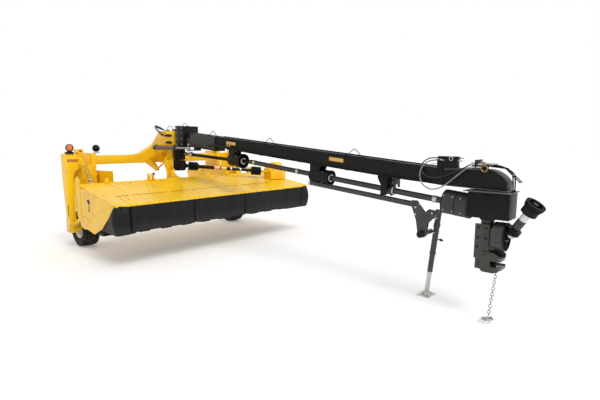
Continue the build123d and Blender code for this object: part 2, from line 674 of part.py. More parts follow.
lift_reach = sqrt((cylinder_tip[0] - cylinder_base[0])**2 + (cylinder_tip[1] - cylinder_base[1])**2)
with BuildPart() as lift_barrels:
    for side in (-1, 1):
        base = (side * cylinder_x, cylinder_base[0], cylinder_base[1])
        tip = (side * cylinder_x, cylinder_tip[0], cylinder_tip[1])
        bar(part_way(base, tip, 20), part_way(base, tip, 600), cylinder_barrel_radius)
        cross_bar((base[0] - 22, base[0] + 22), base[1], base[2], 36)
        cross_bar((base[0] - 30, base[0] + 30), base[1], base[2], arm_pin_radius + pin_play, Mode.SUBTRACT)
        bar(part_way(base, tip, 100), part_way(base, tip, 610), cylinder_rod_radius + pin_play,
            Mode.SUBTRACT)
save(lift_barrels, "lift_barrels")
with BuildPart() as lift_rods:
    for side in (-1, 1):
        base = (side * cylinder_x, cylinder_base[0], cylinder_base[1])
        tip = (side * cylinder_x, cylinder_tip[0], cylinder_tip[1])
        bar(part_way(base, tip, 120), tip, cylinder_rod_radius)
        cross_bar((tip[0] - 22, tip[0] + 22), tip[1], tip[2], 34)
        cross_bar((tip[0], side * (cylinder_lug_inner - pin_play)), tip[1], tip[2], arm_pin_radius)
save(lift_rods, "lift_rods")

# ---- Header frame ----------------------------------------------------------------------------
tube_front_y = tube_rear_y - tube_size
with BuildPart() as header_frame:
    block((-end_plate_inner, end_plate_inner), (tube_front_y, tube_rear_y),
          (tube_bottom_z, tube_bottom_z + tube_size))
    for side in (-1, 1):
        side_plate((side * roll_plate_x, side * (roll_plate_x + 12)), [
            (ahead(1500), 560), (ahead(1500), 1180), (ahead(1300), 1270), (tube_front_y, 1270),
            (tube_rear_y, tube_bottom_z), (ahead(560), 1120), (ahead(560), 900), (ahead(1000), 640),
            (ahead(1350), 560)])
        block((side * (roll_plate_x + 12), side * end_plate_inner), (ahead(1300), ahead(1290)), (640, 1270))
        side_plate((side * cylinder_lug_inner, side * (cylinder_lug_inner + 15)), [
            (tube_rear_y, tube_bottom_z + tube_size), (tube_rear_y, tube_bottom_z - 80),
            (cylinder_tip[0] - 10, cylinder_tip[1] - 45), (cylinder_tip[0] + 45, cylinder_tip[1] - 45),
            (cylinder_tip[0] + 45, cylinder_tip[1] + 45)])
    for inner in (link_x - 44, link_x + 31):
        side_plate((inner, inner + 13), [
            (deck_rear_y + 5, tube_bottom_z + tube_size - 20),
            (tube_rear_y, tube_bottom_z + tube_size - 20),
            (link_tip[0] + 40, link_tip[1] - 130), (link_tip[0] + 40, link_tip[1] + 20),
            (link_tip[0] + 20, link_tip[1] + 42), (link_tip[0] - 25, link_tip[1] + 42),
            (link_tip[0] - 130, link_tip[1] - 90), (deck_rear_y + 40, 1560), (deck_rear_y + 5, 1460)])
    block((link_x - 31, link_x + 31), (deck_rear_y + 40, deck_rear_y + 55), (1340, 1640))
    block((-header_half_width + 160, header_half_width - 160), (deck_rear_y, deck_rear_y + 6),
          (tube_bottom_z + tube_size - 10, deck_z(deck_rear_y)))
    for side in (-1, 1):
        side_plate((side * (spring_x - 6), side * (spring_x + 6)), [
            (tube_rear_y - 40, tube_bottom_z + tube_size - 10),
            (tube_rear_y, tube_bottom_z + tube_size - 10),
            spring_seat(spring_bottom, 0, 20), spring_seat(spring_bottom, 0, -20)])
    cross_bar((link_x - 52, link_x + 52), link_tip[0], link_tip[1], arm_pin_radius)
save(header_frame, "header_frame")

hinge_z = deck_z(cover_hinge_y) + 4
hinge_gap = 22  # cover and deck edges, each side of the hinge line
hinge_offset = 400
hinge_pin_radius = 6
with BuildPart() as header_deck:
    side_plate((-header_half_width, header_half_width), [
        (cover_hinge_y + hinge_gap, deck_z(cover_hinge_y + hinge_gap)), (deck_rear_y, deck_z(deck_rear_y)),
        (deck_rear_y, deck_z(deck_rear_y) - deck_thickness),
        (cover_hinge_y + hinge_gap, deck_z(cover_hinge_y + hinge_gap) - deck_thickness)])
    for low, high in ((-header_half_width, cover_start_x - panel_gap / 2),
                      (cover_start_x + 3 * cover_pitch + panel_gap / 2, header_half_width)):
        side_plate((low, high), [
            (lip_y, deck_z(lip_y)), (cover_hinge_y + 25, deck_z(cover_hinge_y + 25)),
            (cover_hinge_y + 25, deck_z(cover_hinge_y + 25) - deck_thickness),
            (lip_y + deck_thickness, deck_z(lip_y + deck_thickness) - deck_thickness),
            (lip_y + deck_thickness, lip_z - 40),
            (lip_y, lip_z - 40)])
    for index in range(3):
        centre = cover_start_x + (index + 0.5) * cover_pitch
        for x in (centre - hinge_offset, centre + hinge_offset):
            for low, high in ((x - 40, x - 31), (x + 31, x + 40)):
                side_plate((low, high), [
                    (cover_hinge_y - 8, hinge_z - 8), (cover_hinge_y - 8, hinge_z + 8),
                    (cover_hinge_y + 8, hinge_z + 9), (cover_hinge_y + 60, deck_z(cover_hinge_y + 60) + 2),
                    (cover_hinge_y + 60, deck_z(cover_hinge_y + 60) - 3), (cover_hinge_y + 5, hinge_z - 9)])
            cross_bar((x - 40, x + 40), cover_hinge_y, hinge_z, hinge_pin_radius)
save(header_deck, "header_deck")

outer_disc_x = (disc_count - 1) / 2 * disc_pitch
knife_sweep = sqrt(knife_reach**2 + (knife_width / 2)**2) + side_gap
knife_clear_y = disc_y + sqrt(knife_sweep**2 - (end_plate_inner - outer_disc_x)**2)
shield_outline = [
    (lip_y + deck_thickness, deck_z(lip_y + deck_thickness) - deck_thickness),
    (ahead(1760), deck_z(ahead(1760)) - deck_thickness),
    (ahead(1590), 960), (ahead(1260), 600), (ahead(1560), 550), (ahead(1890), 690)]
for side, name in ((1, "left"), (-1, "right")):
    with BuildPart() as header_end:
        side_plate((side * end_plate_inner, side * (end_plate_inner + end_plate_thickness)), [
            (knife_clear_y, bar_top_z), (knife_clear_y, 700), (ahead(1600), 730), (ahead(1600), 1290),
            (ahead(1090), 1320), (ahead(500), 1320),
            (ahead(480), 1250), (ahead(480), 800), (ahead(500), 620), (ahead(560), 530),
            (ahead(700), 500), (ahead(1300), 560), (bar_y + bar_half_depth, 560),
            (bar_y + bar_half_depth, bar_top_z)])
        side_plate((side * (header_half_width - 6), side * header_half_width), shield_outline)
        for y, z in ((ahead(1720), 1180), (ahead(1530), 700)):
            cross_bar((side * end_plate_inner, side * header_half_width), y, z, 20)
        cross_bar((side * (arm_x - 31), side * end_plate_inner), arm_tip[0], arm_tip[1], arm_pin_radius)
    save(header_end, f"{name}_header_end")

with BuildPart() as cutterbar:
    side_plate((-header_half_width + 12, header_half_width - 12), [
        (bar_y - bar_half_depth, 575), (bar_y - bar_half_depth + 40, bar_top_z),
        (bar_y + bar_half_depth, bar_top_z), (bar_y + bar_half_depth, 560),
        (bar_y - bar_half_depth + 60, 555)])
    for index in range(disc_count):
        x = (index - (disc_count - 1) / 2) * disc_pitch
        upright(x, disc_y, (bar_top_z - 5, disc_z[0] - pin_play), 70)
        block((x - 110, x + 110), (bar_y - 180, bar_y + 180), (535, 560))
save(cutterbar, "cutterbar")

for index in range(disc_count):
    x = (index - (disc_count - 1) / 2) * disc_pitch
    turn = 90 * (index % 2)
    with BuildPart() as cutter_disc:
        across = (cos(radians(turn)), sin(radians(turn)), 0)
        with BuildSketch(Plane(origin=(x, disc_y, disc_z[0]), x_dir=across)):
            Ellipse(disc_radius, disc_narrow_radius)
        extrude(amount=disc_z[1] - disc_z[0])
        with Locations((x, disc_y, disc_z[1] + 12)):
            Cone(130, 60, 24)
        with Locations(Location((x, disc_y, disc_z[0] + 3), (0, 0, turn))):
            Box(2 * knife_reach, knife_width, 6)
    save(cutter_disc, f"cutter_disc_{index + 1:02d}")

for z, name in ((upper_roll_z, "upper_roll"), (lower_roll_z, "lower_roll")):
    with BuildPart() as roll:
        cross_bar((-roll_length / 2, roll_length / 2), roll_y, z, roll_radius)
        cross_bar((-roll_plate_x, roll_plate_x), roll_y, z, 30)
    save(roll, name)

with BuildPart() as header_gearbox:
    with BuildSketch(Plane.XZ.offset(-ahead(1560))) as case:
        with BuildLine():
            Line((gearbox_x - 260, 1310), (gearbox_x - 260, 1580))
            ThreePointArc((gearbox_x - 260, 1580), (gearbox_x, 1720), (gearbox_x + 260, 1580))
            Line((gearbox_x + 260, 1580), (gearbox_x + 260, 1310))
            Line((gearbox_x + 260, 1310), (gearbox_x - 260, 1310))
        make_face()
    extrude(case.sketch, amount=260)
    bar((gearbox_x - 240, ahead(1680), 1510), tuple(Vector(*drive_end) + drive_axis * 25), 25)
    side_plate((-header_half_width, header_half_width), [
        (cover_hinge_y, deck_z(cover_hinge_y) + 200), (deck_rear_y, deck_z(deck_rear_y) + 600),
        (deck_rear_y, deck_z(deck_rear_y)), (cover_hinge_y, deck_z(cover_hinge_y))], Mode.INTERSECT)
save(header_gearbox, "header_gearbox")

for index in range(3):
    low = cover_start_x + index * cover_pitch + panel_gap / 2
    high = low + cover_pitch - panel_gap
    with BuildPart() as cover:
        side_plate((low, high), [
            (lip_y, deck_z(lip_y)), (cover_hinge_y - hinge_gap, deck_z(cover_hinge_y - hinge_gap)),
            (cover_hinge_y - hinge_gap, deck_z(cover_hinge_y - hinge_gap) - deck_thickness),
            (lip_y + deck_thickness, deck_z(lip_y + deck_thickness) - deck_thickness),
            (lip_y + deck_thickness, lip_z - 40),
            (lip_y, lip_z - 40)])
        for x in (low + high) / 2 - hinge_offset, (low + high) / 2 + hinge_offset:
            cross_bar((x - 30, x + 30), cover_hinge_y, hinge_z, 11)
            side_plate((x - 30, x + 30), [
                (cover_hinge_y, hinge_z - 4), (cover_hinge_y, hinge_z + 5),
                (cover_hinge_y - 60, deck_z(cover_hinge_y - 60) + 4),
                (cover_hinge_y - 60, deck_z(cover_hinge_y - 60) - 2)])
            cross_bar((x - 31, x + 31), cover_hinge_y, hinge_z, hinge_pin_radius + pin_play, Mode.SUBTRACT)
    save(cover, f"front_cover_{index + 1}")
    with BuildPart() as curtain:
        block((low, high), (lip_y + deck_thickness, lip_y + deck_thickness + curtain_thickness),
              (curtain_bottom_z, lip_z - 8))
    save(curtain, f"front_curtain_{index + 1}")

with BuildPart() as end_curtains:
    curtain_y = (lip_y + deck_thickness, lip_y + deck_thickness + curtain_thickness)
    for low, high in ((-header_half_width + 8, cover_start_x - panel_gap / 2),
                      (cover_start_x + 3 * cover_pitch + panel_gap / 2, header_half_width - 8)):
        block((low, high), curtain_y, (curtain_bottom_z, lip_z - 8))
    for side in (-1, 1):
        side_plate((side * (header_half_width - 14), side * (header_half_width - 8)), [
            (curtain_y[0], lip_z - 10), (curtain_y[0], curtain_bottom_z), (ahead(1930), 700),
            (ahead(1890), 690)])
save(end_curtains, "end_curtains")

# ---- Drive to the header ---------------------------------------------------------------------
ball_seat = joint_ball_radius + pin_play
seat_mouth = 12  # how far past the ball's centre the seat opens
seat_mouth_radius = sqrt(ball_seat**2 - seat_mouth**2)
drive_plane = Plane(origin=drive_start, x_dir=drive_axis, z_dir=drive_axis.cross(Vector(0, 0, 1)))
with BuildPart() as drive_outer:
    with BuildSketch(drive_plane):
        with BuildLine():
            Polyline((seat_mouth, seat_mouth_radius), (seat_mouth, 38), (160, 38), (160, 76),
                     (0, 76), (0, 85),
                     (180, 85), (180, drive_tube_radius), (1050, drive_tube_radius),
                     (1050, drive_tube_bore), (200, drive_tube_bore), (200, 0), (ball_seat, 0))
            CenterArc((0, 0), ball_seat, 0, degrees(atan2(seat_mouth_radius, seat_mouth)))
        make_face()
    revolve(axis=Axis(drive_start, drive_axis))
save(drive_outer, "drive_outer")
with BuildPart() as drive_inner:
    bar(part_way(drive_start, drive_end, 600), part_way(drive_start, drive_end, 1640),
        drive_tube_bore - pin_play)
    bar(part_way(drive_start, drive_end, 1600), drive_end, 88)
    bar(part_way(drive_start, drive_end, 1660), part_way(drive_start, drive_end, 1900), 78, Mode.SUBTRACT)
save(drive_inner, "drive_inner")

# ---- Windrow shields, swathboard and float springs -------------------------------------------
for side, name in ((1, "left"), (-1, "right")):
    with BuildPart() as shield:
        side_plate((side * shield_x, side * (shield_x + shield_wall)), [
            (ahead(-708), 960), (ahead(-708), 1600), (ahead(-1180), 1563), (ahead(-1530), 1470),
            (ahead(-rear_reach), 1380), (ahead(-1430), 970)])
        for z in (1080 + pin_play, 1440):
            upright(side * (post_inner - 15), shield_hinge_y, (z, z + 60), 18)
            block((side * (shield_x + shield_wall), side * (post_inner - 15)),
                  (shield_hinge_y, shield_hinge_y + 18), (z, z + 60))
            upright(side * (post_inner - 15), shield_hinge_y, (z - 1, z + 61), shield_pin_radius + pin_play,
                    Mode.SUBTRACT)
    save(shield, f"{name}_windrow_shield")

board_hinge = (ahead(620), 1095)
board_tip = (ahead(340), 950)
with BuildPart() as swathboard:
    cross_bar((-roll_plate_x + pin_play, roll_plate_x - pin_play), board_hinge[0], board_hinge[1], 16)
    side_plate((-roll_plate_x + 20, roll_plate_x - 20), [
        board_hinge, board_tip, (board_tip[0] - 6, board_tip[1] - 6),
        (board_hinge[0] - 6, board_hinge[1] - 6)])
save(swathboard, "swathboard")

with BuildPart() as float_springs:
    for side in (-1, 1):
        top = (side * spring_x, spring_top[0], spring_top[1])
        bottom = (side * spring_x, spring_bottom[0], spring_bottom[1])
        bar(part_way(top, bottom, 35), part_way(bottom, top, 35), spring_radius)
        bar(part_way(top, bottom, pin_play), part_way(bottom, top, pin_play), 14)
save(float_springs, "float_springs")
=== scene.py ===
from math import atan2, cos, pi, radians, sin, sqrt

import bmesh
import bpy
from bpy.props import FloatProperty, FloatVectorProperty, IntProperty
from mathutils import Matrix, Vector, noise


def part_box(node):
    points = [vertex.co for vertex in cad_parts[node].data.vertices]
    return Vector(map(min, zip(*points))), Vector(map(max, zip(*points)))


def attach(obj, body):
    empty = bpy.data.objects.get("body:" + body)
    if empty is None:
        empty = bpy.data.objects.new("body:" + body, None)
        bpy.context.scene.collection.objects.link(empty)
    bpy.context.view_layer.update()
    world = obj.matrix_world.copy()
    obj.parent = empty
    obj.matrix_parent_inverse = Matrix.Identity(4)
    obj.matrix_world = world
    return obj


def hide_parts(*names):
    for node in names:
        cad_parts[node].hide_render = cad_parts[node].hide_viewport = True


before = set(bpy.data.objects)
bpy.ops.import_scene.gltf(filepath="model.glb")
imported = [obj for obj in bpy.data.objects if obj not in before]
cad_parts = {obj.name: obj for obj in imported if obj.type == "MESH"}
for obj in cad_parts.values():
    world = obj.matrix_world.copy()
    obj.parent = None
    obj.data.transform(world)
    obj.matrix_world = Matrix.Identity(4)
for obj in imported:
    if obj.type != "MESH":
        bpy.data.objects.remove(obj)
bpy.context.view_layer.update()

bl_info = {
    "name": "Disc mower conditioner",
    "version": (1, 0, 0),
    "blender": (4, 5, 0),
    "location": "3D View > Sidebar > Mower",
    "description": "Finishes and details a towed disc mower conditioner around its packed frame",
    "category": "Object",
}


def vec(x, y, z):
    """A place, or a step along the three axes."""
    return Vector((x, y, z))


# ---- Places taken from the frame (metres; +X the machine's left, +Y its rear, Z up)
RIM_LOW, RIM_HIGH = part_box("right_rim")
AXLE_Y = (RIM_LOW.y + RIM_HIGH.y) / 2
AXLE_Z = (RIM_LOW.z + RIM_HIGH.z) / 2
WHEEL_X = -(RIM_LOW.x + RIM_HIGH.x) / 2
TYRE_RADIUS = AXLE_Z
DECK_LOW, DECK_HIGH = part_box("header_deck")
LIP_Y = DECK_LOW.y
HEADER_HALF = DECK_HIGH.x
LIP_Z = 1.188
DECK_SLOPE = 0.15
HINGE_Y = AXLE_Y - 1.95
DECK_REAR_Y = DECK_HIGH.y
LEG_LOW, LEG_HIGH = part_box("right_leg")
TONGUE_HALF = 0.11
TONGUE_HEIGHT = 0.225
SHAFT_RUN, SHAFT_FALL = 4.01, 0.392  # of the long driveshaft, between its joints
SHAFT_WAY = vec(0, -SHAFT_RUN, -SHAFT_FALL).normalized()


def ahead(distance):
    """Station that far ahead of the wheel axle."""
    return AXLE_Y - distance


def deck_z(y):
    """Height of the deck's top surface at a station."""
    return LIP_Z + DECK_SLOPE * (y - LIP_Y)


def beam_top(distance):
    """Height of the tongue's top edge, that far ahead of the axle."""
    return 2.572 - 0.09 * distance


def shaft_z(distance):
    """Height of the long driveshaft's axis, that far ahead of the axle."""
    return 1.87 - (distance - 3.17) * SHAFT_FALL / SHAFT_RUN


# ---- Sizes and colours that a user would change
class PaintSettings(bpy.types.PropertyGroup):
    """Colours of the painted and moulded parts."""
    yellow: FloatVectorProperty(name="Yellow paint", description="Header and trail frame",
                                subtype="COLOR", default=(0.92, 0.545, 0.004))
    black: FloatVectorProperty(name="Black paint", description="Tongue, hitch and drive guards",
                               subtype="COLOR", default=(0.005, 0.0048, 0.0045))
    panel_grey: FloatVectorProperty(name="Grey paint",
        description="Side panel at the tongue's root", subtype="COLOR",
        default=(0.045, 0.045, 0.047))
    rim_white: FloatVectorProperty(name="Rim paint", description="Wheel rims",
                                   subtype="COLOR", default=(0.78, 0.77, 0.74))
    curtain: FloatVectorProperty(name="Curtain",
        description="Rubberised cloth of the crop curtains", subtype="COLOR",
        default=(0.0075, 0.0072, 0.007))
    amber: FloatVectorProperty(name="Amber", description="Lamp lenses and side reflectors",
                               subtype="COLOR", default=(0.82, 0.17, 0.012))


class BuildSettings(bpy.types.PropertyGroup):
    """Sizes of the fine detail."""
    rib_pitch: FloatProperty(name="Deck rib pitch", description="Spacing of the pressed ribs",
                             default=0.13, unit="LENGTH")
    rib_height: FloatProperty(name="Deck rib height", description="How far a rib stands up",
                              default=0.007, unit="LENGTH")
    edge_round: FloatProperty(name="Edge rounding", description="Radius on folded and cut edges",
                              default=0.004, unit="LENGTH")
    spring_turns: IntProperty(name="Float spring turns", description="Coils in each float spring",
                              default=9)
    tread_lugs: IntProperty(name="Tread lugs", description="Shoulder lugs round each tyre",
        default=44)
    chevrons: IntProperty(name="Roll chevrons", description="Chevron bars along each roll",
        default=12)
    chain_links: IntProperty(name="Chain links", description="Links in the hanging safety chain",
                             default=16)


class CameraSettings(bpy.types.PropertyGroup):
    """Where the picture is taken from."""
    place: FloatVectorProperty(name="Camera place", description="Camera position",
                               subtype="TRANSLATION", default=(-5.618, -6.1965, 2.286))
    heading: FloatProperty(name="Heading", description="Turn from +Y towards +X", subtype="ANGLE",
                           default=radians(47.666))
    pitch: FloatProperty(name="Pitch", description="Angle above the horizon", subtype="ANGLE",
                         default=radians(-7.896))
    roll: FloatProperty(name="Roll", description="Turn about the line of sight", subtype="ANGLE",
                        default=radians(0.199))
    lens: FloatProperty(name="Lens", description="Focal length in millimetres", default=25.553)


def paints():
    """The colours."""
    return bpy.context.scene.mower_paints


def sizes():
    """The detail sizes."""
    return bpy.context.scene.mower_sizes


# ---- Shader building
class Value:
    """A number that varies over a surface, and can be reckoned with."""

    def __init__(self, finish, socket):
        self.finish = finish
        self.socket = socket

    def maths(self, operation, *terms, clamp=False):
        """One Math node on these terms."""
        made = self.finish.node("ShaderNodeMath", {"operation": operation, "use_clamp": clamp},
                                dict(enumerate(terms)))
        return Value(self.finish, made.outputs[0])

    def __add__(self, other):
        return self.maths("ADD", self, other)

    def __sub__(self, other):
        return self.maths("SUBTRACT", self, other)

    def __rsub__(self, other):
        return self.maths("SUBTRACT", other, self)

    def __mul__(self, other):
        return self.maths("MULTIPLY", self, other)

    def __pow__(self, other):
        return self.maths("POWER", self, other)

    __radd__ = __add__
    __rmul__ = __mul__

    def wave(self):
        """The sine of this value."""
        return self.maths("SINE", self)

    def size(self):
        """The value without its sign."""
        return self.maths("ABSOLUTE", self)

    def between(self, low, high):
        """0 at low and 1 at high, clamped outside them."""
        made = self.finish.node("ShaderNodeMapRange", {"clamp": True},
                                {"Value": self, "From Min": low, "From Max": high})
        return Value(self.finish, made.outputs[0])


class Finish:
    """One procedural material: a shader, and the nodes that vary it over the surface."""

    def __init__(self, name, **constants):
        self.material = bpy.data.materials.new(name)
        self.material.use_nodes = True
        self.tree = self.material.node_tree
        self.tree.nodes.clear()
        self.shader = self.node("ShaderNodeBsdfPrincipled")
        for name, value in constants.items():
            self.shader.inputs[name.replace("_", " ")].default_value = value
        output = self.node("ShaderNodeOutputMaterial")
        self.tree.links.new(self.shader.outputs[0], output.inputs[0])
        self.place = self.node("ShaderNodeTexCoord").outputs["Object"]

    def node(self, kind, settings=None, sockets=None):
        """Add a node: its settings first, then a value or a link for each socket."""
        made = self.tree.nodes.new(kind)
        for name, value in (settings or {}).items():
            setattr(made, name, value)
        for name, value in (sockets or {}).items():
            value = value.socket if isinstance(value, Value) else value
            if isinstance(value, bpy.types.NodeSocket):
                self.tree.links.new(value, made.inputs[name])
            else:
                made.inputs[name].default_value = value
        return made

    def noise(self, scale, detail=2.0, roughness=0.5, place=None):
        """Cloudy noise of that many features a metre, about 0 to 1."""
        made = self.node("ShaderNodeTexNoise", None, {"Vector": place or self.place, "Scale": scale,
            "Detail": detail, "Roughness": roughness})
        return Value(self, made.outputs[0])

    def cells(self, scale, place=None):
        """Distance from the middle of scattered cells, that many a metre."""
        made = self.node("ShaderNodeTexVoronoi", None, {"Vector": place or self.place,
            "Scale": scale})
        return Value(self, made.outputs["Distance"])

    def stretched(self, x, y, z):
        """The place on the surface with each axis scaled."""
        return self.node("ShaderNodeMapping", None,
            {"Vector": self.place, "Scale": (x, y, z)}).outputs[0]

    def along(self, axis, place=None):
        """Position along one axis, in metres."""
        made = self.node("ShaderNodeSeparateXYZ", None, {0: place or self.place})
        return Value(self, made.outputs["XYZ".index(axis)])

    def mix(self, share, first, second, blend="MIX"):
        """A colour between two, by a share from 0 to 1."""
        made = self.node("ShaderNodeMix", {"data_type": "RGBA", "blend_type": blend}, {
            0: share, 6: first if isinstance(first, bpy.types.NodeSocket) else (*first, 1),
            7: second if isinstance(second, bpy.types.NodeSocket) else (*second, 1)})
        return made.outputs[2]

    def drives(self, name, value):
        """Link a value or a colour to one of the shader's sockets."""
        socket = value.socket if isinstance(value, Value) else value
        self.tree.links.new(socket, self.shader.inputs[name])

    def bump(self, height, strength, distance):
        """Raise the surface by a height from 0 to 1."""
        made = self.node("ShaderNodeBump", None,
                         {"Height": height, "Strength": strength, "Distance": distance})
        self.drives("Normal", made.outputs[0])


def tint(colour, share):
    """A colour made lighter (share above 1) or darker."""
    return tuple(min(1.0, part * share) for part in colour)


def gloss_paint(name, colour, rough, coat, dust, shine=0.3):
    """Sprayed paint: orange peel, faint cloudiness, and a little dust low down."""
    finish = Finish(name, Coat_Roughness=0.12, Specular_IOR_Level=shine)
    broad = finish.noise(1.7, 3)
    patches = finish.noise(9.0, 5, 0.6)
    specks = finish.noise(140.0, 2)
    low_down = finish.along("Z").between(1.3, 0.1)
    film = (patches.between(0.42, 0.75) * (0.1 + 0.5 * low_down)) * dust
    base = finish.mix(broad.between(0.3, 0.7), tint(colour, 0.93), tint(colour, 1.04))
    finish.drives("Base Color", finish.mix(film, base, (0.52, 0.43, 0.3)))
    finish.drives("Roughness", rough + 0.1 * patches + 0.05 * specks + 0.3 * film)
    finish.drives("Coat Weight", coat - 0.5 * film)
    finish.bump(finish.noise(260.0, 1) * 0.6 + finish.noise(55.0, 2) * 0.4, 0.1, 0.0012)
    return finish.material


def metal(name, colour, rough, grain, stain):
    """Bare or plated metal with a fine grain and dull stains."""
    finish = Finish(name, Metallic=1.0)
    cloud = finish.noise(14.0, 5, 0.6)
    fine = finish.noise(320.0, 2)
    finish.drives("Base Color", finish.mix(cloud.between(0.35, 0.7) * stain, colour,
        tint(colour, 0.45)))
    finish.drives("Roughness", rough + 0.22 * cloud + 0.08 * fine)
    finish.bump(fine * 0.5 + finish.noise(90.0, 3) * 0.5, grain, 0.001)
    return finish.material


def cast_iron():
    """Rough painted casting: pitted, dark and matt."""
    finish = Finish("cast_iron", Specular_IOR_Level=0.14)
    pits = finish.cells(170.0)
    cloud = finish.noise(11.0, 5, 0.65)
    finish.drives("Base Color", finish.mix(cloud.between(0.3, 0.7), (0.006, 0.006, 0.006),
                                           (0.016, 0.015, 0.014)))
    finish.drives("Roughness", 0.48 + 0.25 * cloud)
    finish.bump(pits * 0.5 + finish.noise(70.0, 4) * 0.6, 0.35, 0.0022)
    return finish.material


def tyre_rubber():
    """Tyre rubber: matt black, greyer and dusty towards the ground."""
    finish = Finish("tyre_rubber", Specular_IOR_Level=0.14)
    cloud = finish.noise(8.0, 5, 0.62)
    grit = finish.noise(190.0, 3)
    dust = finish.along("Z").between(0.55, 0.0) * 0.35 * cloud.between(0.35, 0.7)
    base = finish.mix(cloud, (0.006, 0.006, 0.006), (0.012, 0.0115, 0.011))
    finish.drives("Base Color", finish.mix(dust, base, (0.16, 0.13, 0.1)))
    finish.drives("Roughness", 0.62 + 0.22 * cloud)
    finish.bump(grit * 0.5 + finish.noise(42.0, 3) * 0.5, 0.22, 0.0016)
    return finish.material


def roll_rubber():
    """Hard conditioner-roll rubber, scuffed on its bars."""
    finish = Finish("roll_rubber", Specular_IOR_Level=0.3)
    scuff = finish.noise(22.0, 5, 0.7, finish.stretched(0.25, 1, 1))
    finish.drives("Base Color", finish.mix(scuff.between(0.45, 0.75), (0.01, 0.01, 0.01),
                                           (0.045, 0.043, 0.04)))
    finish.drives("Roughness", 0.5 + 0.35 * scuff)
    finish.bump(scuff * 0.5 + finish.noise(150.0, 2) * 0.4, 0.25, 0.0018)
    return finish.material


def curtain_cloth(colour):
    """Rubberised cloth: a close weave under a dull skin, rubbed creases and dust at the hem."""
    finish = Finish("curtain_cloth", Specular_IOR_Level=0.18)
    warp = (finish.along("X") * 2600.0).wave().size()
    weft = (finish.along("Z") * 2600.0).wave().size()
    creases = finish.noise(5.0, 4, 0.6, finish.stretched(1.6, 1.6, 0.7))
    rubbed = finish.noise(26.0, 4, 0.6)
    hem_dust = finish.along("Z").between(0.86, 0.7) * 0.22 * rubbed
    base = finish.mix(creases.between(0.35, 0.7), tint(colour, 0.8), tint(colour, 1.5))
    finish.drives("Base Color", finish.mix(hem_dust, base, (0.14, 0.12, 0.1)))
    finish.drives("Roughness", 0.44 + 0.22 * rubbed)
    finish.bump(warp * weft * 0.25 + creases * 0.9 + rubbed * 0.2, 0.32, 0.006)
    return finish.material


def hose_cover(name, dark, worn_through):
    """Braided hydraulic hose: spiral ribs under a thin cover, worn through in places."""
    finish = Finish(name, Specular_IOR_Level=0.25)
    spread = finish.along("X") + finish.along("Y") + finish.along("Z")
    braid = (spread * 900.0).wave().size()
    worn = finish.noise(60.0, 3)
    finish.drives("Base Color", finish.mix(worn.between(0.4, 0.75), dark, worn_through))
    finish.drives("Roughness", 0.36 + 0.25 * worn)
    finish.bump(braid * 0.7 + worn * 0.3, 0.3, 0.001)
    return finish.material


def moulded_plastic(name, colour, rough=0.42):
    """Moulded plastic with a fine spark-eroded grain and faint flow marks."""
    finish = Finish(name, Specular_IOR_Level=0.18)
    flow = finish.noise(13.0, 4, 0.6)
    grain = finish.noise(420.0, 2)
    finish.drives("Base Color", finish.mix(flow, tint(colour, 0.85), tint(colour, 1.2)))
    finish.drives("Roughness", rough + 0.16 * flow + 0.06 * grain)
    finish.bump(grain * 0.7 + flow * 0.3, 0.14, 0.0008)
    return finish.material


def lens(name, colour, rough, glow=0.0):
    """A lamp lens or reflector: small prisms pressed into coloured plastic."""
    finish = Finish(name, IOR=1.49, Coat_Weight=0.7, Coat_Roughness=0.06, Emission_Strength=glow)
    prisms = (finish.along("X") * 700.0).wave().size() * (finish.along("Z") * 700.0).wave().size()
    across = (finish.along("Y") * 700.0).wave().size()
    cloud = finish.noise(18.0, 3)
    pressed = prisms * 0.6 + across * 0.4
    finish.drives("Base Color", finish.mix(pressed * 0.5 + cloud * 0.3, tint(colour, 0.72),
                                           tint(colour, 1.12)))
    finish.drives("Roughness", rough + 0.1 * cloud)
    finish.bump(pressed, 0.35, 0.0012)
    return finish.material


def label(name, colour):
    """A blank printed label: slightly creased film, a little yellowed."""
    finish = Finish(name, Coat_Weight=0.3, Coat_Roughness=0.2)
    cloud = finish.noise(16.0, 4, 0.6)
    finish.drives("Base Color", finish.mix(cloud.between(0.35, 0.75), colour, tint(colour, 0.86)))
    finish.drives("Roughness", 0.32 + 0.2 * cloud)
    finish.bump(finish.noise(75.0, 3), 0.08, 0.001)
    return finish.material


FINISHES = {}


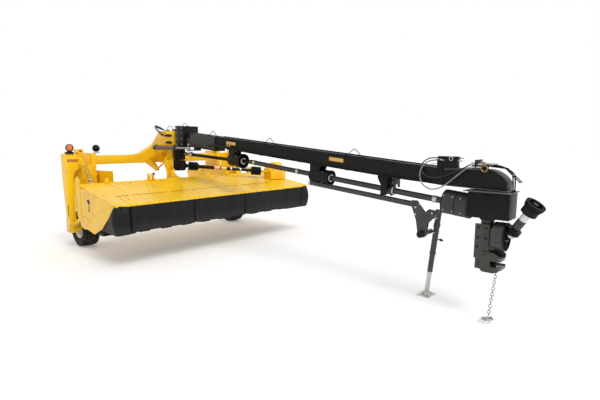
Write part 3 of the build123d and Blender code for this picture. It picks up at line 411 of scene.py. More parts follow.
def make_finishes():
    """Every finish on the machine, by name."""
    colours = paints()
    yellow, black, panel = tuple(colours.yellow), tuple(colours.black), tuple(colours.panel_grey)
    FINISHES.update({
        "yellow_paint": gloss_paint("yellow_enamel", yellow, 0.26, 0.16, 0.22),
        "black_paint": gloss_paint("black_satin", black, 0.34, 0.0, 0.12, 0.16),
        "grey_paint": gloss_paint("grey_panel_paint", panel, 0.42, 0.0, 0.1, 0.2),
        "light_grey_paint": gloss_paint("light_grey_paint", (0.1, 0.1, 0.1), 0.35, 0.1, 0.2),
        # Black paint lifted to a brownish grey: a painted highlight and ground reflection on the
        # black shafts, hitch and jack.
        "tube_paint": gloss_paint("satin_black_painted_highlight", (0.03, 0.027, 0.024), 0.26, 0.1, 0.2, 0.45),
        "white_paint": gloss_paint("rim_enamel", tuple(colours.rim_white), 0.3, 0.3, 0.8),
        "steel": metal("plated_steel", (0.6, 0.59, 0.56), 0.26, 0.18, 0.5),
        "chrome_rod": metal("chromed_rod", (0.34, 0.34, 0.35), 0.06, 0.04, 0.15),
        "worn_steel": metal("worn_steel", (0.42, 0.4, 0.38), 0.36, 0.35, 0.8),
        "brass": metal("yellow_zinc_plate", (0.5, 0.34, 0.12), 0.34, 0.15, 0.6),
        "cast": cast_iron(),
        "tyre": tyre_rubber(),
        "rubber": roll_rubber(),
        "curtain": curtain_cloth(tuple(colours.curtain)),
        "hose": hose_cover("hose_cover", (0.012, 0.012, 0.013), (0.06, 0.06, 0.062)),
        "bare_braid": hose_cover("bare_hose_braid", (0.17, 0.175, 0.18), (0.34, 0.34, 0.34)),
        "black_plastic": moulded_plastic("black_moulding", (0.006, 0.006, 0.0065)),
        "grey_plastic": moulded_plastic("grey_moulding", (0.11, 0.11, 0.11), 0.35),
        "amber": lens("amber_lens", tuple(colours.amber), 0.16),
        "side_amber": lens("side_amber", (0.76, 0.4, 0.03), 0.25),
        "amber_strip": lens("amber_strip", (0.5, 0.2, 0.02), 0.3),
        "red": lens("dark_red_lens", (0.3, 0.015, 0.012), 0.18),
        "white_label": label("white_label", (0.8, 0.79, 0.76)),
        "pink_label": label("pink_label", (0.8, 0.45, 0.36)),
        "yellow_label": label("yellow_label", (0.8, 0.62, 0.05)),
    })


# ---- Shapes
SLOTS = {finish: slot for slot, finishes in {
    "yellow_paint": ("yellow_paint",), "white_paint": ("white_paint",), "cast": ("cast",),
    "black_paint": ("black_paint", "grey_paint", "light_grey_paint", "tube_paint"),
    "steel": ("steel", "worn_steel", "brass", "grey_plastic"), "tyre": ("tyre",),
    "rubber": ("rubber", "curtain", "hose", "bare_braid"), "black_plastic": ("black_plastic",),
}.items() for finish in finishes}
WELD = 1e-5  # corners nearer than this become one
SHARP = 32  # degrees between faces from which a CAD edge is rounded


def side_view(x, *places):
    """Places (metres ahead of the axle, height) in one plane along the machine."""
    return [(x, ahead(distance), z) for distance, z in places]


def front_view(distance, *places):
    """Places (x, height) in one plane across the machine."""
    return [(x, ahead(distance), z) for x, z in places]


def top_view(z, *places):
    """Places (x, metres ahead of the axle) at one height."""
    return [(x, ahead(distance), z) for x, distance in places]


def course(*places):
    """Places (x, metres ahead of the axle, height) along a route."""
    return [(x, ahead(distance), z) for x, distance, z in places]


def spread(count, first=0.0):
    """Angles spaced evenly round a circle."""
    return [first + index * 2 * pi / count for index in range(count)]


def stood(origin, axis):
    """A matrix that puts local Z along an axis, at an origin."""
    return Matrix.Translation(origin) @ Vector(axis).to_track_quat("Z", "Y").to_matrix().to_4x4()


class Shape:
    """A mesh that grows by operators, and is then one finished piece."""

    def __init__(self):
        self.mesh = bmesh.new()

    def rounded(self, vertices, width):
        """Bevel the sharp edges among these vertices."""
        chosen = set(vertices)
        edges = {edge for vertex in chosen for edge in vertex.link_edges
                 if edge.calc_face_angle(0.0) > radians(30)
                 and all(end in chosen for end in edge.verts)}
        bmesh.ops.bevel(self.mesh, geom=list(edges), offset=width, segments=2, profile=0.5,
                        affect="EDGES", material=-1, clamp_overlap=True)

    def block(self, low, high, bevel=0.003, turn=None):
        """A box between two corners, turned by a matrix if one is given."""
        low, high = Vector(low), Vector(high)
        size = Vector([abs(high[axis] - low[axis]) for axis in range(3)])
        at = (turn or Matrix()) @ Matrix.Translation((low + high) / 2) @ Matrix.Diagonal(
            size.to_4d())
        made = bmesh.ops.create_cube(self.mesh, size=1, matrix=at)
        if bevel:
            self.rounded(made["verts"], bevel)
        return self

    def rod(self, start, end, radius, tip=None, sides=20, bevel=0.0):
        """A round bar, or a cone with another radius at its tip."""
        start, end = Vector(start), Vector(end)
        made = bmesh.ops.create_cone(
            self.mesh, cap_ends=True, cap_tris=False, segments=sides, radius1=radius,
            radius2=radius if tip is None else tip, depth=(end - start).length,
            matrix=stood((start + end) / 2, end - start))
        if bevel:
            self.rounded(made["verts"], bevel)
        return self

    def ball(self, centre, radius, rings=10):
        """A ball."""
        bmesh.ops.create_uvsphere(self.mesh, u_segments=2 * rings, v_segments=rings, radius=radius,
                                  matrix=Matrix.Translation(centre))
        return self

    def turned(self, origin, axis, profile, steps=32, closed=False):
        """Spin a profile of (distance along the axis, radius) places into a ring or a body."""
        at = stood(origin, axis)
        points = [self.mesh.verts.new(at @ vec(radius, 0, height))
            for height, radius in profile]
        edges = [self.mesh.edges.new(pair) for pair in zip(points, points[1:])]
        if closed:
            edges.append(self.mesh.edges.new((points[-1], points[0])))
        bmesh.ops.spin(self.mesh, geom=points + edges, cent=origin, axis=Vector(axis).normalized(),
                       angle=2 * pi, steps=steps, use_merge=True)
        return self

    def collar(self, origin, axis, start, end, bore, outside, steps=32):
        """A ring of rectangular section between two distances along the axis."""
        section = [(start, bore), (start, outside), (end, outside), (end, bore)]
        return self.turned(origin, axis, section, steps, closed=True)

    def boss(self, origin, axis, distances, radii, steps=32):
        """A ring or solid with a bevelled end: (start, shoulder, end) and (bore, outside, tip)."""
        (start, shoulder, end), (bore, outside, tip) = distances, radii
        section = [(start, bore), (start, outside), (shoulder, outside), (end, tip), (end, bore)]
        return self.turned(origin, axis, section, steps, closed=bore > 0)

    def ring(self, origin, axis, radius, thickness, steps=24, sides=8):
        """A round ring of round wire."""
        profile = [(thickness * sin(2 * pi * side / sides),
            radius + thickness * cos(2 * pi * side / sides)) for side in range(sides)]
        return self.turned(origin, axis, profile, steps, closed=True)

    def plate(self, points, thickness, bevel=0.002):
        """A flat outline pushed along a thickness vector."""
        face = self.mesh.faces.new([self.mesh.verts.new(point) for point in points])
        base = list(face.verts)
        made = bmesh.ops.extrude_face_region(self.mesh, geom=[face])
        top = [part for part in made["geom"] if isinstance(part, bmesh.types.BMVert)]
        bmesh.ops.translate(self.mesh, verts=top, vec=thickness)
        if bevel:
            self.rounded(base + top, bevel)
        return self

    def bolt(self, at, axis, size=0.012, stud=False):
        """A hexagon head on its washer; the axis points out of the surface at that place."""
        at, out = Vector(at), Vector(axis).normalized()
        self.rod(at - out * 0.002, at + out * size * 0.2, size * 1.25, sides=14)
        self.rod(at + out * size * 0.2, at + out * size * 0.85, size, size * 0.9, sides=6)
        if stud:
            self.rod(at, at + out * size * 1.5, size * 0.5, sides=10)
        return self

    def made(self, name, finish, body, replaces=(), bend=35, slot=None):
        """Close the shape, and make it one piece that rides on a body."""
        bmesh.ops.remove_doubles(self.mesh, verts=self.mesh.verts, dist=WELD)
        bmesh.ops.recalc_face_normals(self.mesh, faces=self.mesh.faces)
        mesh = bpy.data.meshes.new(name)
        self.mesh.to_mesh(mesh)
        self.mesh.free()
        return kept(name, mesh, finish, body, replaces, bend, slot)


def placed(name, data, finish, body, replaces=(), slot=None):
    """Give a mesh or a curve its finish, link it, and let it ride on a body."""
    data.materials.append(FINISHES[finish])
    piece = bpy.data.objects.new(name, data)
    bpy.context.scene.collection.objects.link(piece)
    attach(piece, body)
    slot = SLOTS.get(finish) if slot is None else slot
    if replaces:
        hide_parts(*replaces)
    return piece


def kept(name, mesh, finish, body, replaces=(), bend=35, slot=None):
    """Shade a mesh, smooth up to an angle in degrees, and make it a piece."""
    mesh.shade_smooth()
    mesh.set_sharp_from_angle(angle=radians(bend))
    return placed(name, mesh, finish, body, replaces, slot)


def strand(name, routes, radius, finish, body):
    """Round wire, pipe or hose along smooth routes, as one curve piece."""
    curve = bpy.data.curves.new(name, "CURVE")
    curve.dimensions = "3D"
    curve.bevel_depth = radius
    curve.bevel_resolution = 3
    curve.resolution_u = 8
    curve.use_fill_caps = True
    for route in routes:
        spline = curve.splines.new("NURBS")
        spline.points.add(len(route) - 1)
        for point, place in zip(spline.points, route):
            point.co = (*place, 1)
        spline.order_u = 3
        spline.use_endpoint_u = True
    return placed(name, curve, finish, body)


def softened(node, width, finish, body, reach=0.0):
    """Stand in for a CAD node with a round-edged copy, cut off at reach from the middle."""
    copy = bmesh.new()
    copy.from_mesh(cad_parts[node].data)
    bmesh.ops.remove_doubles(copy, verts=copy.verts, dist=WELD)
    bmesh.ops.dissolve_limit(copy, angle_limit=radians(0.5), verts=copy.verts, edges=copy.edges)
    for side in (-1, 1) if reach else ():
        cut = bmesh.ops.bisect_plane(copy, geom=copy.verts[:] + copy.edges[:] + copy.faces[:],
            plane_co=(side * reach, 0, 0), plane_no=(side, 0, 0), clear_outer=True)
        bmesh.ops.holes_fill(copy, edges=[part for part in cut["geom_cut"]
                                          if isinstance(part, bmesh.types.BMEdge)])
    sharp = [edge for edge in copy.edges
             if edge.is_manifold and edge.calc_face_angle(0.0) > radians(SHARP)
             and edge.calc_length() > 2.5 * width]
    bmesh.ops.bevel(copy, geom=sharp, offset=width, segments=2, profile=0.5, affect="EDGES",
                    material=-1, clamp_overlap=True)
    mesh = bpy.data.meshes.new(node + "_finished")
    copy.to_mesh(mesh)
    copy.free()
    return kept(node + "_finished", mesh, finish, body, (node,), SHARP)


# ---- Camera, light and floor
class MOWER_OT_stage(bpy.types.Operator):
    """Set the camera, the soft lights and a plain pale floor"""
    bl_idname = "mower.stage"
    bl_label = "Stage"

    def execute(self, context):
        scene = context.scene
        view = scene.mower_camera
        side = vec(cos(view.heading), -sin(view.heading), 0)
        ahead_way = vec(sin(view.heading) * cos(view.pitch), cos(view.heading) * cos(view.pitch),
            sin(view.pitch))
        upright = side.cross(ahead_way)
        right = side * cos(view.roll) + upright * sin(view.roll)
        up = upright * cos(view.roll) - side * sin(view.roll)
        camera = bpy.data.objects.new("camera", bpy.data.cameras.new("camera"))
        camera.data.lens = view.lens
        camera.data.clip_end = 200
        turn = Matrix((right, up, -ahead_way)).transposed().to_4x4()
        camera.matrix_world = Matrix.Translation(view.place) @ turn
        scene.collection.objects.link(camera)
        scene.camera = camera
        scene.view_settings.view_transform = "Standard"

        for name, heading, height, strength, spread in (("key_light", -14, 50, 1.65, 28),
                ("fill_light", 60, 40, 0.35, 60)):
            lamp = bpy.data.lights.new(name, "SUN")
            lamp.energy = strength
            lamp.angle = radians(spread)
            light = bpy.data.objects.new(name, lamp)
            light.rotation_euler = (radians(90 - height), 0, radians(heading))
            scene.collection.objects.link(light)

        world = bpy.data.worlds.new("studio")
        world.use_nodes = True
        scene.world = world
        nodes, links = world.node_tree.nodes, world.node_tree.links
        path = nodes.new("ShaderNodeLightPath")
        seen = nodes.new("ShaderNodeMath")
        seen.operation = "MAXIMUM"
        through = nodes.new("ShaderNodeMath")
        through.operation = "MAXIMUM"
        links.new(path.outputs["Is Camera Ray"], seen.inputs[0])
        links.new(path.outputs["Is Glossy Ray"], seen.inputs[1])
        links.new(seen.outputs[0], through.inputs[0])
        links.new(path.outputs["Is Transmission Ray"], through.inputs[1])
        strength = nodes.new("ShaderNodeMapRange")
        strength.inputs["To Min"].default_value = 0.62
        links.new(through.outputs[0], strength.inputs["Value"])
        links.new(strength.outputs[0], nodes["Background"].inputs["Strength"])
        nodes["Background"].inputs["Color"].default_value = (1, 1, 1, 1)

        floor = bmesh.new()
        bmesh.ops.create_grid(floor, x_segments=2, y_segments=2, size=60,
            matrix=Matrix.Translation((0, 0, -0.0005)))
        mesh = bpy.data.meshes.new("floor")
        floor.to_mesh(mesh)
        floor.free()
        ground = bpy.data.objects.new("floor", mesh)
        scene.collection.objects.link(ground)
        paint = Finish("pale_floor", Roughness=0.9, Specular_IOR_Level=0.0)
        paint.shader.inputs["Emission Color"].default_value = (1, 1, 1, 1)
        tone = paint.noise(0.8, 2)
        paint.drives("Base Color", paint.mix(tone, (0.8, 0.8, 0.8), (0.82, 0.82, 0.82)))
        paint.shader.inputs["Emission Strength"].default_value = 0.22
        mesh.materials.append(paint.material)
        return {"FINISHED"}


# ---- Free hoses at the tongue's head
HOSE_RADIUS = 0.009
HOSE_ROUTES = (  # name, real length, then (x, metres ahead of the axle, z) down the hose
    ("hose_low", 1.315, [
        (-0.085, 7.1, 2.035), (-0.085, 7.005, 2.035), (-0.12, 6.925, 1.99), (-0.172, 6.885, 1.895),
        (-0.185, 6.89, 1.785), (-0.185, 6.945, 1.69), (-0.185, 7.05, 1.64), (-0.185, 7.17, 1.66),
        (-0.183, 7.285, 1.735), (-0.178, 7.39, 1.835), (-0.172, 7.48, 1.915),
        (-0.165, 7.545, 1.965), (-0.165, 7.628, 1.965)]),
    ("hose_high", 1.167, [
        (-0.045, 7.1, 2.068), (-0.045, 7.01, 2.068), (-0.085, 6.935, 2.045),
        (-0.125, 6.885, 1.985), (-0.138, 6.885, 1.895), (-0.138, 6.945, 1.822),
        (-0.136, 7.04, 1.795), (-0.134, 7.16, 1.81), (-0.132, 7.285, 1.85), (-0.131, 7.4, 1.905),
        (-0.13, 7.5, 1.962), (-0.13, 7.556, 1.998), (-0.13, 7.628, 1.998)]),
)


class MOWER_OT_hoses(bpy.types.Operator):
    """Lay the two free hoses from the rack to the fitting plate, with their end fittings"""
    bl_idname = "mower.hoses"
    bl_label = "Free hoses"

    def execute(self, context):
        for name, length, stations in HOSE_ROUTES:
            route = [vec(x, ahead(distance), z) for x, distance, z in stations]
            cover = "bare_braid" if name == "hose_low" else "hose"
            hose = strand(name + "_line", [route], HOSE_RADIUS, cover, "tongue")
            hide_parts(name)
            ends = Shape()
            for at, beside in ((route[0], route[1]), (route[-1], route[-2])):
                out = (beside - at).normalized()
                ends.rod(at + out * 0.001, at + out * 0.02, 0.0155, sides=6, bevel=0.001)
                ends.rod(at + out * 0.018, at + out * 0.062, 0.0125, 0.0115, sides=16)
                ends.ring(at + out * 0.026, out, 0.0122, 0.0015, 16, 6)
                ends.ring(at + out * 0.054, out, 0.0117, 0.0015, 16, 6)
            fitting = ends.made(name + "_ferrules", "steel", "tongue")
        return {"FINISHED"}


# ---- Finishes on the CAD nodes
class MOWER_OT_finishes(bpy.types.Operator):
    """Make every finish, and give each CAD node the one of its material slot"""
    bl_idname = "mower.finishes"
    bl_label = "Finishes"

    def execute(self, context):
        make_finishes()
        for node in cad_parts.values():
            for place in node.material_slots:
                slot = place.material.name.split(".")[0]
                place.material = FINISHES[slot]
        # The driveshafts' black slots take the lightened black, a painted highlight.
        for name in ("main_driveshaft", "drive_outer", "drive_inner"):
            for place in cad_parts[name].material_slots:
                if place.material == FINISHES["black_paint"]:
                    place.material = FINISHES["tube_paint"]
        return {"FINISHED"}


def finished(body, *pieces):
    """Make pieces of (shape, name, finish) that ride on one body."""
    for shape, name, finish in pieces:
        shape.made(name, finish, body)


def bolts(name, body, axis, size, spots, finish="steel"):
    """A set of like bolts that stick out along one axis."""
    shape = Shape()
    for spot in spots:
        shape.bolt(spot, axis, size)
    return shape.made(name, finish, body)


def universal_joint(shape, at, axis, reach, thickness):
    """Two forked yokes on a cross, centred at a place on a shaft."""
    turn = stood(at, axis)
    for end, quarter in ((-1, 0), (1, pi / 2)):
        fork = turn @ Matrix.Rotation(quarter, 4, "Z")
        for side in (-1, 1):
            shape.block((side * reach * 0.62, -reach * 0.36, -reach * 0.3 * end),
                (side * reach * 0.9, reach * 0.36, end * reach * 1.05), thickness * 0.2, fork)
        shape.block((-reach * 0.9, -reach * 0.4, end * reach * 0.95),
            (reach * 0.9, reach * 0.4, end * reach * 1.25), thickness * 0.2, fork)
        shape.rod(fork @ vec(-reach * 0.98, 0, 0), fork @ vec(reach * 0.98, 0, 0), thickness,
            sides=14, bevel=thickness * 0.15)
    return shape


# ---- Wheels
TYRE_HALF = (  # half the section as (distance from the middle, radius), tread to bead
    (0.029, 0.3928), (0.031, 0.382), (0.043, 0.3816), (0.045, 0.392), (0.092, 0.3885),
    (0.094, 0.3785), (0.106, 0.3778), (0.108, 0.3866), (0.132, 0.3815), (0.15, 0.373),
    (0.161, 0.356), (0.1685, 0.335), (0.1712, 0.306), (0.169, 0.284), (0.1708, 0.279),
    (0.1678, 0.273), (0.158, 0.246), (0.146, 0.222), (0.136, 0.21), (0.13, 0.197))
RIM_HALF = (  # half the section of the rim's well
    (0.05, 0.164), (0.088, 0.168), (0.114, 0.182), (0.128, 0.19), (0.134, 0.198), (0.139, 0.207),
    (0.142, 0.205), (0.139, 0.193), (0.126, 0.181), (0.092, 0.158), (0.052, 0.154))


class MOWER_OT_wheels(bpy.types.Operator):
    """Make the tyres with their tread, and the rims with hubs and nuts"""
    bl_idname = "mower.wheels"
    bl_label = "Wheels"

    def execute(self, context):
        count = sizes().tread_lugs
        for side, name in ((1, "left"), (-1, "right")):
            hub = vec(side * WHEEL_X, AXLE_Y, AXLE_Z)
            axis = vec(1, 0, 0)
            body = name + "_wheel"
            tyre = Shape()
            section = [(-h, r) for h, r in reversed(TYRE_HALF)] + [(0, TYRE_RADIUS)] + list(
                TYRE_HALF)
            tyre.turned(hub, axis, section, 72, closed=True)
            for index in range(count):
                for edge in (-1, 1):
                    turn = Matrix.Translation(hub) @ Matrix.Rotation(
                        (index + edge / 4) * 2 * pi / count, 4, "X")
                    tyre.block((edge * 0.113, -0.012, 0.366), (edge * 0.156, 0.012, 0.3815), 0.004,
                        turn)
                    tyre.block((edge * 0.046, -0.002, 0.386), (edge * 0.09, 0.002, 0.3915), 0, turn)
            tyre.made(name + "_tyre_treaded", "tyre", body, (name + "_tyre",))

            rim = Shape()
            well = [(-h, r) for h, r in reversed(RIM_HALF[:7])] + list(RIM_HALF)
            well += [(-h, r) for h, r in reversed(RIM_HALF[7:])]
            rim.turned(hub, axis, well, 56, closed=True)
            dish = [(0.052, 0.16), (0.05, 0.15), (0.036, 0.13), (0.028, 0.105), (0.04, 0.088),
                (0.048, 0.07), (0.048, 0.04), (0.04, 0.04), (0.038, 0.068), (0.03, 0.084),
                (0.018, 0.102), (0.026, 0.132), (0.038, 0.152), (0.04, 0.161)]
            rim.turned(hub, (side, 0, 0), dish, 56, closed=True)
            rim.rod(hub + axis * side * 0.06 + vec(0, 0.1, 0.135), hub + axis * side * 0.085
                + vec(0, 0.1, 0.135), 0.005, 0.003, 8)
            rim.made(name + "_rim_pressed", "white_paint", body, (name + "_rim",))

            core = Shape()
            core.turned(hub, (side, 0, 0), [(-0.072, 0.0365), (-0.072, 0.06), (-0.03, 0.066),
                (0.036, 0.066), (0.062, 0.058), (0.062, 0.0365)], 32, closed=True)
            for angle in spread(6):
                spot = hub + vec(side * 0.048, 0.075 * cos(angle), 0.075 * sin(angle))
                core.bolt(spot, (side, 0, 0), 0.011, stud=True)
                core.bolt(spot - vec(side * 0.012, 0, 0), (-side, 0, 0), 0.009)
            core.made(name + "_hub", "cast", body)
        return {"FINISHED"}


# ---- Crop curtains
COVER_START = -HEADER_HALF + 0.267
COVER_PITCH = (2 * HEADER_HALF - 0.267 - 0.737) / 3
PANEL_GAP = 0.008
CURTAIN_LINE_Y = LIP_Y + 0.01
CURTAIN_TOP = LIP_Z - 0.01
CURTAIN_BOTTOM = 0.68
CLOTH = 0.004


def corner_lift(distance, radius=0.045):
    """How far a rounded lower corner rises, at a distance from the side edge."""
    if distance >= radius:
        return 0.0
    return radius - sqrt(radius * radius - (radius - distance)**2)


def cloth_sheet(name, body, columns, rows, shaped, nodes):
    """A grid of cloth whose points go where shaped(across, down) says, each from 0 to 1."""
    mesh = bmesh.new()
    bmesh.ops.create_grid(mesh, x_segments=columns, y_segments=rows, size=0.5)
    for vertex in mesh.verts:
        vertex.co = shaped(vertex.co.x + 0.5, 0.5 - vertex.co.y)
    area = sum(face.calc_area() for face in mesh.faces)
    bmesh.ops.recalc_face_normals(mesh, faces=mesh.faces)
    data = bpy.data.meshes.new(name)
    mesh.to_mesh(data)
    mesh.free()
    piece = kept(name, data, "curtain", body, nodes, 60)
    skin = piece.modifiers.new("thickness", "SOLIDIFY")
    skin.thickness = CLOTH
    skin.offset = 0
    return piece, area


class MOWER_OT_curtains(bpy.types.Operator):
    """Hang the cloth curtains round the front of the header"""
    bl_idname = "mower.curtains"
    bl_label = "Crop curtains"

    def execute(self, context):
        for index in range(3):
            low = COVER_START + index * COVER_PITCH + PANEL_GAP / 2
            width = COVER_PITCH - PANEL_GAP
            drop = CURTAIN_TOP - CURTAIN_BOTTOM

            reach = width + (0.035 if index < 2 else 0.0)

            def panel(across, down):
                """One cover's curtain: nearly flat, waving a little more towards the hem."""
                x = low + across * reach
                from_edge = min(across, 1 - across) * reach
                z = CURTAIN_TOP - down * (drop - corner_lift(from_edge))
                behind = 0.013 * max(0.0, min(1.0, (x - low - width + 0.02) / 0.02))
                wave = 0.01 * sin(x * 5.3 + 0.8 + index) + 0.004 * sin(x * 17 + 2 * index)
                curl = 0.03 * max(0.0, 1 - across * reach / 0.09)**2 * down
                dent = 0.006 * noise.noise(vec(x * 2.2, index, z * 4.0))
                y = CURTAIN_LINE_Y + behind - down**1.5 * (0.01 + wave + curl) - sin(
                    pi * down) * dent
                return vec(x, y, z)

            piece, area = cloth_sheet(f"curtain_{index + 1}", f"cover_{index + 1}", 72, 26, panel,
                (f"front_curtain_{index + 1}",))

        tuck = 0.09
        inner_ends = (COVER_START + tuck, COVER_START + 3 * COVER_PITCH - tuck)
        for side, inner, name in ((-1, inner_ends[0], "right"), (1, inner_ends[1], "left")):
            outer = HEADER_HALF - 0.012
            front = outer - abs(inner) - 0.05
            turn = 0.05
            back = 0.54
            total = front + turn * pi / 2 + back

            def corner(across, down):
                """The end curtain: along the front, round the corner, then back by the shield."""
                way = across * total
                behind = max(0.0, way - front - turn * pi / 2)
                if way < front:
                    spot = vec(inner + side * way, CURTAIN_LINE_Y
                        + 0.016 * min(1.0, max(0.0, 0.14 - way) / 0.04), 0)
                    out = vec(0, -1, 0)
                elif behind == 0:
                    bend = (way - front) / turn
                    out = vec(side * sin(bend), -cos(bend), 0)
                    spot = vec(side * (outer - turn), CURTAIN_LINE_Y + turn, 0) + out * turn
                else:
                    out = vec(side, 0, 0)
                    spot = vec(side * outer, CURTAIN_LINE_Y + turn + behind, 0)
                top = CURTAIN_TOP - 0.46 * min(1.0, behind / back)
                bottom = CURTAIN_BOTTOM - 0.03 + 0.02 * corner_lift(way, 0.08) / 0.08
                z = top - down * (top - bottom)
                near_corner = max(0.0, 1 - abs(way - front - turn) / (0.32 if behind else 0.24))
                bulge = 0.062 * sin(pi * min(1.0, down * 1.05))**0.7 * near_corner**0.6
                belly = 0.022 * down * near_corner**0.5
                across_peak = abs(way - front * 0.62) / 0.085
                down_peak = abs(down - 0.24) / 0.22
                peak = 0.04 * max(0.0, 1 - across_peak - down_peak)**0.8
                fold = 0.012 * max(0.0, 1 - abs(way - front - 0.06 - 0.26 * down) / 0.045) * sin(
                    pi * down)
                crease = 0.005 * noise.noise(vec(way * 7, side, z * 5))
                return spot + vec(0, 0, z) + out * (bulge + belly + peak + fold + crease)

            piece, area = cloth_sheet(f"{name}_corner_curtain", "header", 90, 30, corner,
                ("end_curtains",))
            min(area, total * 0.49)
        return {"FINISHED"}


# ---- Deck and covers
class MOWER_OT_deck(bpy.types.Operator):
    """Press the ribs into the covers and deck, and add their bolts, brackets, latch and seams"""
    bl_idname = "mower.deck"
    bl_label = "Deck and covers"

    def execute(self, context):
        pitch = sizes().rib_pitch
        height = sizes().rib_height
        radius = 0.014
        slope = vec(0, 1, DECK_SLOPE).normalized()
        lift = vec(0, -DECK_SLOPE, 1).normalized() * (height - radius)

        def rib(shape, x, start, end):
            """A half-round rib up the slope, sunk into the sheet."""
            first = vec(x, start, deck_z(start)) + lift
            last = vec(x, end, deck_z(end)) + lift
            shape.rod(first, last, radius, sides=12)
            for at, out in ((first, -slope), (last, slope)):
                shape.rod(at, at + out * radius * 1.6, radius, radius * 0.35, 12)

        for index in range(3):
            low = COVER_START + index * COVER_PITCH + PANEL_GAP / 2
            high = low + COVER_PITCH - PANEL_GAP
            ribs = Shape()
            count = int((high - low - 0.06) / pitch)
            for number in range(count):
                rib(ribs, (low + high) / 2 + (number - (count - 1) / 2) * pitch, LIP_Y + 0.055,
                    HINGE_Y - 0.075)
            for x in (low + 0.006, high - 0.006):
                ribs.block((x - 0.005, LIP_Y + 0.01, deck_z(LIP_Y) - 0.002),
                    (x + 0.005, LIP_Y + 0.48, deck_z(LIP_Y) + 0.004), 0.0015,
                    Matrix.Translation((0, LIP_Y, LIP_Z)) @ Matrix.Rotation(atan2(DECK_SLOPE, 1), 4,
                    "X") @ Matrix.Translation((0, -LIP_Y, -LIP_Z)))
            ribs.made(f"cover_{index + 1}_ribs", "yellow_paint", f"cover_{index + 1}")
            ticks = Shape()
            for number in range(6):
                x = low + (number + 0.5) * (high - low) / 6
                ticks.rod((x, LIP_Y - 0.0035, LIP_Z - 0.02), (x, LIP_Y + 0.001, LIP_Z - 0.02),
                    0.0045, 0.006, 10)
                ticks.block((x - 0.0015, LIP_Y - 0.001, LIP_Z - 0.04),
                    (x + 0.0015, LIP_Y + 0.001, LIP_Z - 0.003), 0)
            for x in (low + 0.1, high - 0.1):
                y = LIP_Y + 0.3
                ticks.bolt((x, y, deck_z(y)), (0, -DECK_SLOPE, 1), 0.008)
            ticks.made(f"cover_{index + 1}_fixings", "black_plastic", f"cover_{index + 1}")
            hinge = Shape()
            for offset in (-0.4, 0.4):
                x = (low + high) / 2 + offset
                for edge in (-1, 1):
                    hinge.bolt((x + edge * 0.02, HINGE_Y - 0.045, deck_z(HINGE_Y - 0.045) + 0.004),
                        (0, 0, 1), 0.006)
            hinge.made(f"cover_{index + 1}_hinge_bolts", "steel", f"cover_{index + 1}")
            clip = Shape()
            x = high - 0.2
            clip.block((x - 0.03, LIP_Y - 0.006, LIP_Z - 0.046),
                (x + 0.03, LIP_Y + 0.002, LIP_Z - 0.034), 0.002)
            clip.rod((x - 0.012, LIP_Y - 0.01, LIP_Z - 0.04),
                (x + 0.012, LIP_Y - 0.01, LIP_Z - 0.04), 0.005, sides=10)
            clip.made(f"cover_{index + 1}_latch", "steel", f"cover_{index + 1}")

        deck = Shape()
        edge = HEADER_HALF - 0.05
        count = int(2 * edge / pitch)
        for number in range(count):
            x = (number - (count - 1) / 2) * pitch
            rib(deck, x, HINGE_Y + 0.085, DECK_REAR_Y - 0.045)
        for side in (-1, 1):
            for x in ((HEADER_HALF - 0.06,) if side < 0 else (HEADER_HALF - 0.08,
                    HEADER_HALF - 0.28, HEADER_HALF - 0.52)):
                rib(deck, side * x, LIP_Y + 0.055, HINGE_Y - 0.02)
        deck.made("deck_ribs", "yellow_paint", "header")
        mast = Shape()
        face_y = ahead(0.735)
        mast.plate([(-0.435, face_y, 1.4), (-0.435, face_y, 1.85), (-0.265, face_y, 1.85),
            (-0.258, face_y, 1.64), (-0.225, face_y, 1.54), (-0.15, face_y, 1.46),
            (-0.06, face_y, 1.425), (-0.06, face_y, 1.4)], (0, 0.012, 0), 0.003)
        mast.made("mast_face", "yellow_paint", "header")
        arch = front_view(0.7, (-0.452, 1.69), (-0.452, 1.8), (-0.44, 1.89), (-0.35, 1.93),
            (-0.26, 1.89), (-0.248, 1.8), (-0.248, 1.69))
        strand("mast_arch", [arch], 0.012, "yellow_paint", "header")

        rim = Shape()
        gutter_y = HINGE_Y + 0.015
        rim.plate([(COVER_START, gutter_y, deck_z(gutter_y) - 0.04), (COVER_START + 3 * COVER_PITCH,
            gutter_y, deck_z(gutter_y) - 0.04), (COVER_START + 3 * COVER_PITCH, gutter_y + 0.16,
            deck_z(gutter_y) - 0.016), (COVER_START, gutter_y + 0.16, deck_z(gutter_y) - 0.016)],
            (0, 0, 0.003), 0)
        rear_z = deck_z(DECK_REAR_Y)
        rim.block((-HEADER_HALF, DECK_REAR_Y - 0.012, rear_z - 0.03),
            (HEADER_HALF, DECK_REAR_Y, rear_z + 0.014), 0.002)
        for x in (-1.9, -0.985, 0.55, 1.15):
            tab_y = DECK_REAR_Y - 0.02
            rim.plate([(x - 0.05, tab_y, rear_z), (x + 0.05, tab_y, rear_z),
                (x + 0.035, tab_y, rear_z + 0.1), (x - 0.035, tab_y, rear_z + 0.1)], (0, 0.01, 0))
        for x in (-1.02, -0.93):
            rim.plate([(x, DECK_REAR_Y - 0.16, deck_z(DECK_REAR_Y - 0.16)),
                (x, DECK_REAR_Y - 0.015, rear_z), (x, DECK_REAR_Y - 0.015, rear_z + 0.16),
                (x, DECK_REAR_Y - 0.06, rear_z + 0.155), (x, DECK_REAR_Y - 0.15, rear_z + 0.05)],
                (0.008, 0, 0))
        rim.rod((-1.05, DECK_REAR_Y - 0.04, rear_z + 0.12),
            (-0.89, DECK_REAR_Y - 0.04, rear_z + 0.12), 0.009, sides=14)
        rim.made("deck_rear_rim", "yellow_paint", "header")
        knob = Shape()
        spot = vec(-0.88, DECK_REAR_Y - 0.03, rear_z)
        knob.rod(spot, spot + vec(0, 0, 0.11), 0.008, sides=12)
        knob.turned(spot + vec(0, 0, 0.105), (0, 0, 1), [(0, 0), (0, 0.012), (0.008, 0.022),
            (0.034, 0.027), (0.048, 0.022), (0.055, 0.01), (0.056, 0)], 24)
        knob.made("deck_latch_knob", "black_plastic", "header")
